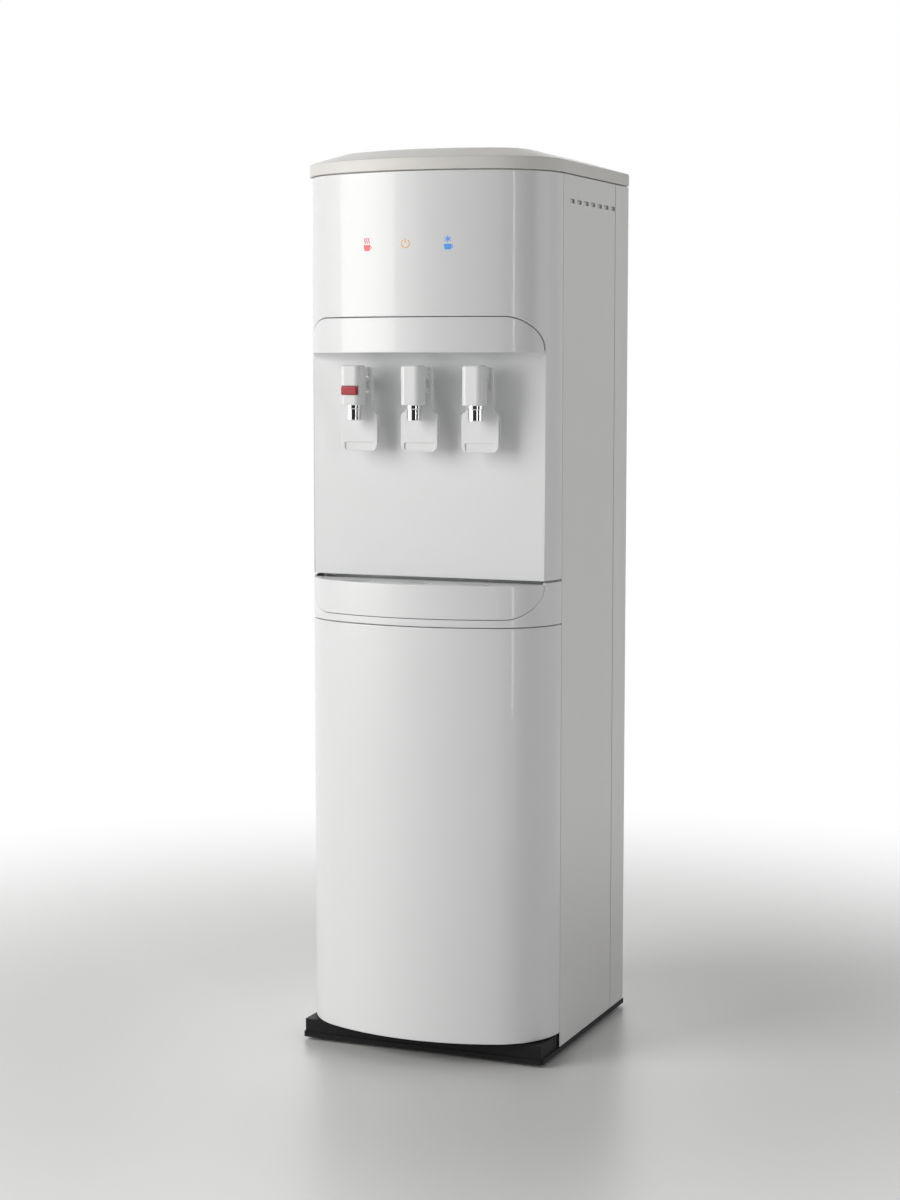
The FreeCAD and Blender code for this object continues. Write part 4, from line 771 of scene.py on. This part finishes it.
for name, side, drawMark, finish, node in (
        ("hotLamp", -1, hotMark, "red_light", "hot_indicator"),
        ("powerLamp", 0, powerMark, "amber_light", "power_indicator"),
        ("coldLamp", 1, coldMark, "blue_light", "cold_indicator")):
    lamp = Skin()
    for mark in [part for group in drawMark(frontAlong(lamps["spread"] * side), lamps["height"])
                 for part in group]:
        bentPlate(lamp, litPlace, [mark], [], lamps["thick"], lamps["edge"], 1)
    makePiece(name, lamp, "cabinet", finish, [node])

# ---- side panels and rear cover
sideSizes = {"low": 10.3, "front": 97.55, "seam": 280.2, "gauge": 1.0, "ventHeight": 1000,
             "ventLong": 17, "ventWide": 4.5, "ventPitch": 24, "ventStart": 118, "vents": 7}
rearSizes = {"wrap": 281, "round": 3.5, "low": 10.3, "ventPitch": 48, "ventLong": 34,
             "ventTall": 4, "ventLow": 70, "rowPitch": 11, "rows": 9}
rearHoles = {"drain": (-60, 586, 7.3), "inlet": (110, 66, 7.3), "switches": (76, 975, 48, 30, 0.5)}


def slot(along, height, long, tall, radius):
    return rounded([(along, height, radius), (along + long, height, radius),
                    (along + long, height + tall, radius), (along, height + tall, radius)], 4)


def sidePanel(name, side, node):
    skin = Skin()
    size = sideSizes

    def place(along):
        return side * plan["half"], along, side, 0

    vents = [slot(size["ventStart"] + size["ventPitch"] * number, size["ventHeight"],
                  size["ventLong"], size["ventWide"], 2.1) for number in range(size["vents"])]
    bentPlate(skin, place,
              [rounded([(size["front"], size["low"], 0.8), (size["seam"], size["low"], 0.8),
                        (size["seam"], front["top"], 0.8), (size["front"], front["top"], 0.8)])]
              + vents, [], size["gauge"], 0.7)
    rows = [[(at(side * across, depth, front["top"]), Vector((0, 0, 1)))
             for depth in (size["front"] + 4, size["seam"] - 2)] for across in (154.3, 143)]
    skin.sheet(rows, 0.001)
    # the inner louvre strip behind the vent slots
    last = size["ventStart"] + size["ventPitch"] * (size["vents"] - 1) + size["ventLong"]
    low, high = sorted((side * 151.4, side * 152.6))
    block(skin, (low, size["ventStart"] - 4, size["ventHeight"] - 3),
          (high, last + 4, size["ventHeight"] + size["ventWide"] + 3), 0.4)
    makePiece(name, skin, "cabinet", "white_panel", [node])


sidePanel("leftPanel", -1, "left_side_panel")
sidePanel("rightPanel", 1, "right_side_panel")


def rearPlace(along):
    side = math.copysign(1, along)
    along = abs(along)
    radius = rearSizes["round"]
    flat = plan["half"] - radius
    if along <= flat:
        return side * along, plan["depth"], 0, 1
    turn = (along - flat) / radius
    if turn < math.pi / 2:
        return (side * (flat + radius * math.sin(turn)),
                plan["depth"] - radius * (1 - math.cos(turn)), side * math.sin(turn),
                math.cos(turn))
    return (side * plan["half"], plan["depth"] - radius - (along - flat - radius * math.pi / 2),
            side, 0)


rearFlat = plan["half"] - rearSizes["round"]
rearTurn = rearSizes["round"] * math.pi / 2
rearLength = rearFlat + rearTurn + plan["depth"] - rearSizes["round"] - rearSizes["wrap"]
rear = Skin()
rearVents = [slot(rearSizes["ventPitch"] * column - rearSizes["ventLong"] / 2,
                  rearSizes["ventLow"] + rearSizes["rowPitch"] * row,
                  rearSizes["ventLong"], rearSizes["ventTall"], 1.9)
             for column in (-1.5, -0.5, 0.5, 1.5) for row in range(rearSizes["rows"])]
bentPlate(rear, rearPlace,
          [rounded([(-rearLength, rearSizes["low"], 0.8), (rearLength, rearSizes["low"], 0.8),
                    (rearLength, front["top"], 0.8), (-rearLength, front["top"], 0.8)])]
          + rearVents
          + [circleLoop(*rearHoles["drain"]), circleLoop(*rearHoles["inlet"]),
             slot(*rearHoles["switches"])],
          [side * (rearFlat + rearTurn * step / 5) for side in (-1, 1) for step in range(6)],
          1, 0.6)
makePiece("rearCover", rear, "cabinet", "white_panel", ["rear_cover"])
print("side panels and rear cover")

# ---- taps
tapSizes = {"spacing": 76, "front": 10, "depth": 24, "width": 25, "low": 768, "high": 814,
            "corner": 6.5, "shank": 8.5, "shankHeight": 792, "rear": 33, "shankEnd": 79,
            "outlet": 24, "lugOut": 9.2, "lugHalf": 2.7, "lugLow": 801.5, "lugHigh": 812,
            "lugEnd": 45}
paddleSizes = {"width": 46, "low": 714, "high": 811, "front": 38, "thick": 3, "corner": 8,
               "neck": 16.6, "shoulder": 758, "notch": 12.6, "clear": 782,
               "dent": 37, "dentLow": 716.5, "dentHigh": 724.5, "pinDepth": 40,
               "pinHeight": 806.5, "pin": 2.2, "ribEnd": 44.6, "ribHalf": 0.9,
               "finger": 3.4, "fingerTip": 21, "fingerHalf": 2}
paddleRibs = ((22.1, 723, 756), (15.7, 750, 803))
buttonSizes = {"width": 20, "low": 780, "tall": 10, "front": 8.4, "thick": 3.4,
               "gap": 0.6, "pocket": 5}


def flatAt(depth):
    return lambda along: (along, depth, 0, -1)


def tapBody(name, middle, hasButton):
    size = tapSizes
    skin = Skin()
    half = size["width"] / 2
    ring = roundedBox(middle - half, size["front"], middle + half, size["front"] + size["depth"],
                      size["corner"], 8)
    profile = rolled(size["low"], size["high"], 1.2, 3.5, 6)
    if hasButton:
        # the body in three layers, the middle one cut back to let the button in
        gap = buttonSizes["gap"]
        reach = buttonSizes["width"] / 2 + gap
        floor = size["front"] + buttonSizes["pocket"]
        sill, lintel = buttonSizes["low"] - gap, buttonSizes["low"] + buttonSizes["tall"] + gap

        def cutRing(inset):
            kept = [spot for spot in ring(inset)
                    if spot[1] > floor or abs(spot[0] - middle) > reach]
            after = next(index for index, spot in enumerate(kept)
                         if spot[0] < middle and kept[(index + 1) % len(kept)][0] > middle
                         and spot[1] < floor)
            left, right = kept[after], kept[(after + 1) % len(kept)]
            return kept[:after + 1] + [
                (middle - reach, left[1], left[2], left[3]), (middle - reach, left[1], 1, 0),
                (middle - reach, floor, 1, 0), (middle - reach, floor, 0, -1),
                (middle + reach, floor, 0, -1), (middle + reach, floor, -1, 0),
                (middle + reach, right[1], -1, 0),
                (middle + reach, right[1], right[2], right[3])] + kept[after + 1:]

        stack(skin, ring, profile[:7] + [(0, sill, 0)])
        stack(skin, cutRing, [(0, sill, 0), (0, lintel, 0)], capLow=False, capHigh=False)
        stack(skin, ring, [(0, lintel, 0)] + profile[7:])
    else:
        stack(skin, ring, profile)
    stack(skin, roundPlan(middle, size["shankHeight"], size["shank"]),
          rolled(-size["shankEnd"], -size["rear"], 0.4, 0.4), facing)
    for side in (-1, 1):
        lug = middle + side * size["lugOut"]
        block(skin, (lug - size["lugHalf"], size["rear"], size["lugLow"]),
              (lug + size["lugHalf"], size["lugEnd"], size["lugHigh"]), 0.8)
    makePiece(name + "TapBody", skin, "cabinet", "white_gloss", [name + "_tap_body"])


def tapPaddle(name, middle):
    size = paddleSizes
    skin = Skin()
    half = size["width"] / 2
    left, right = middle - half, middle + half
    neck = size["neck"]
    outline = rounded([(left, size["low"], size["corner"]), (right, size["low"], size["corner"]),
                       (right, size["shoulder"], 5), (middle + neck, size["shoulder"] + 3, 4),
                       (middle + neck, size["high"], 2), (middle + size["notch"], size["high"], 1),
                       (middle + size["notch"], size["clear"], 2),
                       (middle - size["notch"], size["clear"], 2),
                       (middle - size["notch"], size["high"], 1), (middle - neck, size["high"], 2),
                       (middle - neck, size["shoulder"] + 3, 4), (left, size["shoulder"], 5)], 6)
    dent = slot(middle - size["dent"] / 2, size["dentLow"], size["dent"],
                size["dentHigh"] - size["dentLow"], 1.5)
    bentPlate(skin, flatAt(size["front"]), [outline, dent], [], size["thick"], 0.7, 4)
    block(skin, (middle - size["dent"] / 2 - 1, size["front"] + 1.4, size["dentLow"] - 1),
          (middle + size["dent"] / 2 + 1, size["front"] + 2.6, size["dentHigh"] + 1), 0.3)
    for side in (-1, 1):
        for out, low, high in paddleRibs:
            rib = middle + side * out
            block(skin, (rib - size["ribHalf"], size["pinDepth"], low),
                  (rib + size["ribHalf"], size["ribEnd"], high), 0.5)
    # the pin lies across, and its finger reaches forward over the valve stem
    stack(skin, roundPlan(size["pinDepth"], size["pinHeight"], size["pin"]),
          rolled(middle - neck + 0.4, middle + neck - 0.4, 0.4, 0.4),
          lambda a, b, c: at(c, a, b))
    block(skin,
          (middle - size["finger"], size["fingerTip"], size["pinHeight"] - size["fingerHalf"]),
          (middle + size["finger"], size["pinDepth"], size["pinHeight"] + size["fingerHalf"]), 0.8)
    makePiece(name + "Paddle", skin, name + "_lever", "white_gloss", [name + "_paddle"])


for name, side in (("hot", -1), ("room", 0), ("cold", 1)):
    tapBody(name, side * tapSizes["spacing"], name == "hot")
    tapPaddle(name, side * tapSizes["spacing"])

button = Skin()
half = buttonSizes["width"] / 2
stack(button, roundedBox(-tapSizes["spacing"] - half, buttonSizes["low"],
                         -tapSizes["spacing"] + half, buttonSizes["low"] + buttonSizes["tall"],
                         2, 5),
      rolled(-buttonSizes["front"] - buttonSizes["thick"], -buttonSizes["front"], 0.2, 1.4, 5),
      facing)
makePiece("hotButton", button, "hot_button", "red", ["hot_safety_button"])

spoutSizes = {"radius": 8.5, "wall": 3.9, "low": 750, "collar": 763.4, "over": 0.7, "inside": 770}
spouts = Skin()
spoutProfile = softPath([(spoutSizes["wall"], spoutSizes["inside"], 0),
                         (spoutSizes["wall"], spoutSizes["low"], 0.8), (0, spoutSizes["low"], 1.1),
                         (0, spoutSizes["collar"], 0.5),
                         (-spoutSizes["over"], spoutSizes["collar"] + 0.8, 0.4),
                         (-spoutSizes["over"], tapSizes["low"], 0)], 5)
for side in (-1, 0, 1):
    ring = roundPlan(side * tapSizes["spacing"], tapSizes["outlet"], spoutSizes["radius"], 48)
    stack(spouts, ring, spoutProfile, capLow=False, capHigh=False)
makePiece("spouts", spouts, "cabinet", "chrome", ["tap_spouts"])
print("taps")
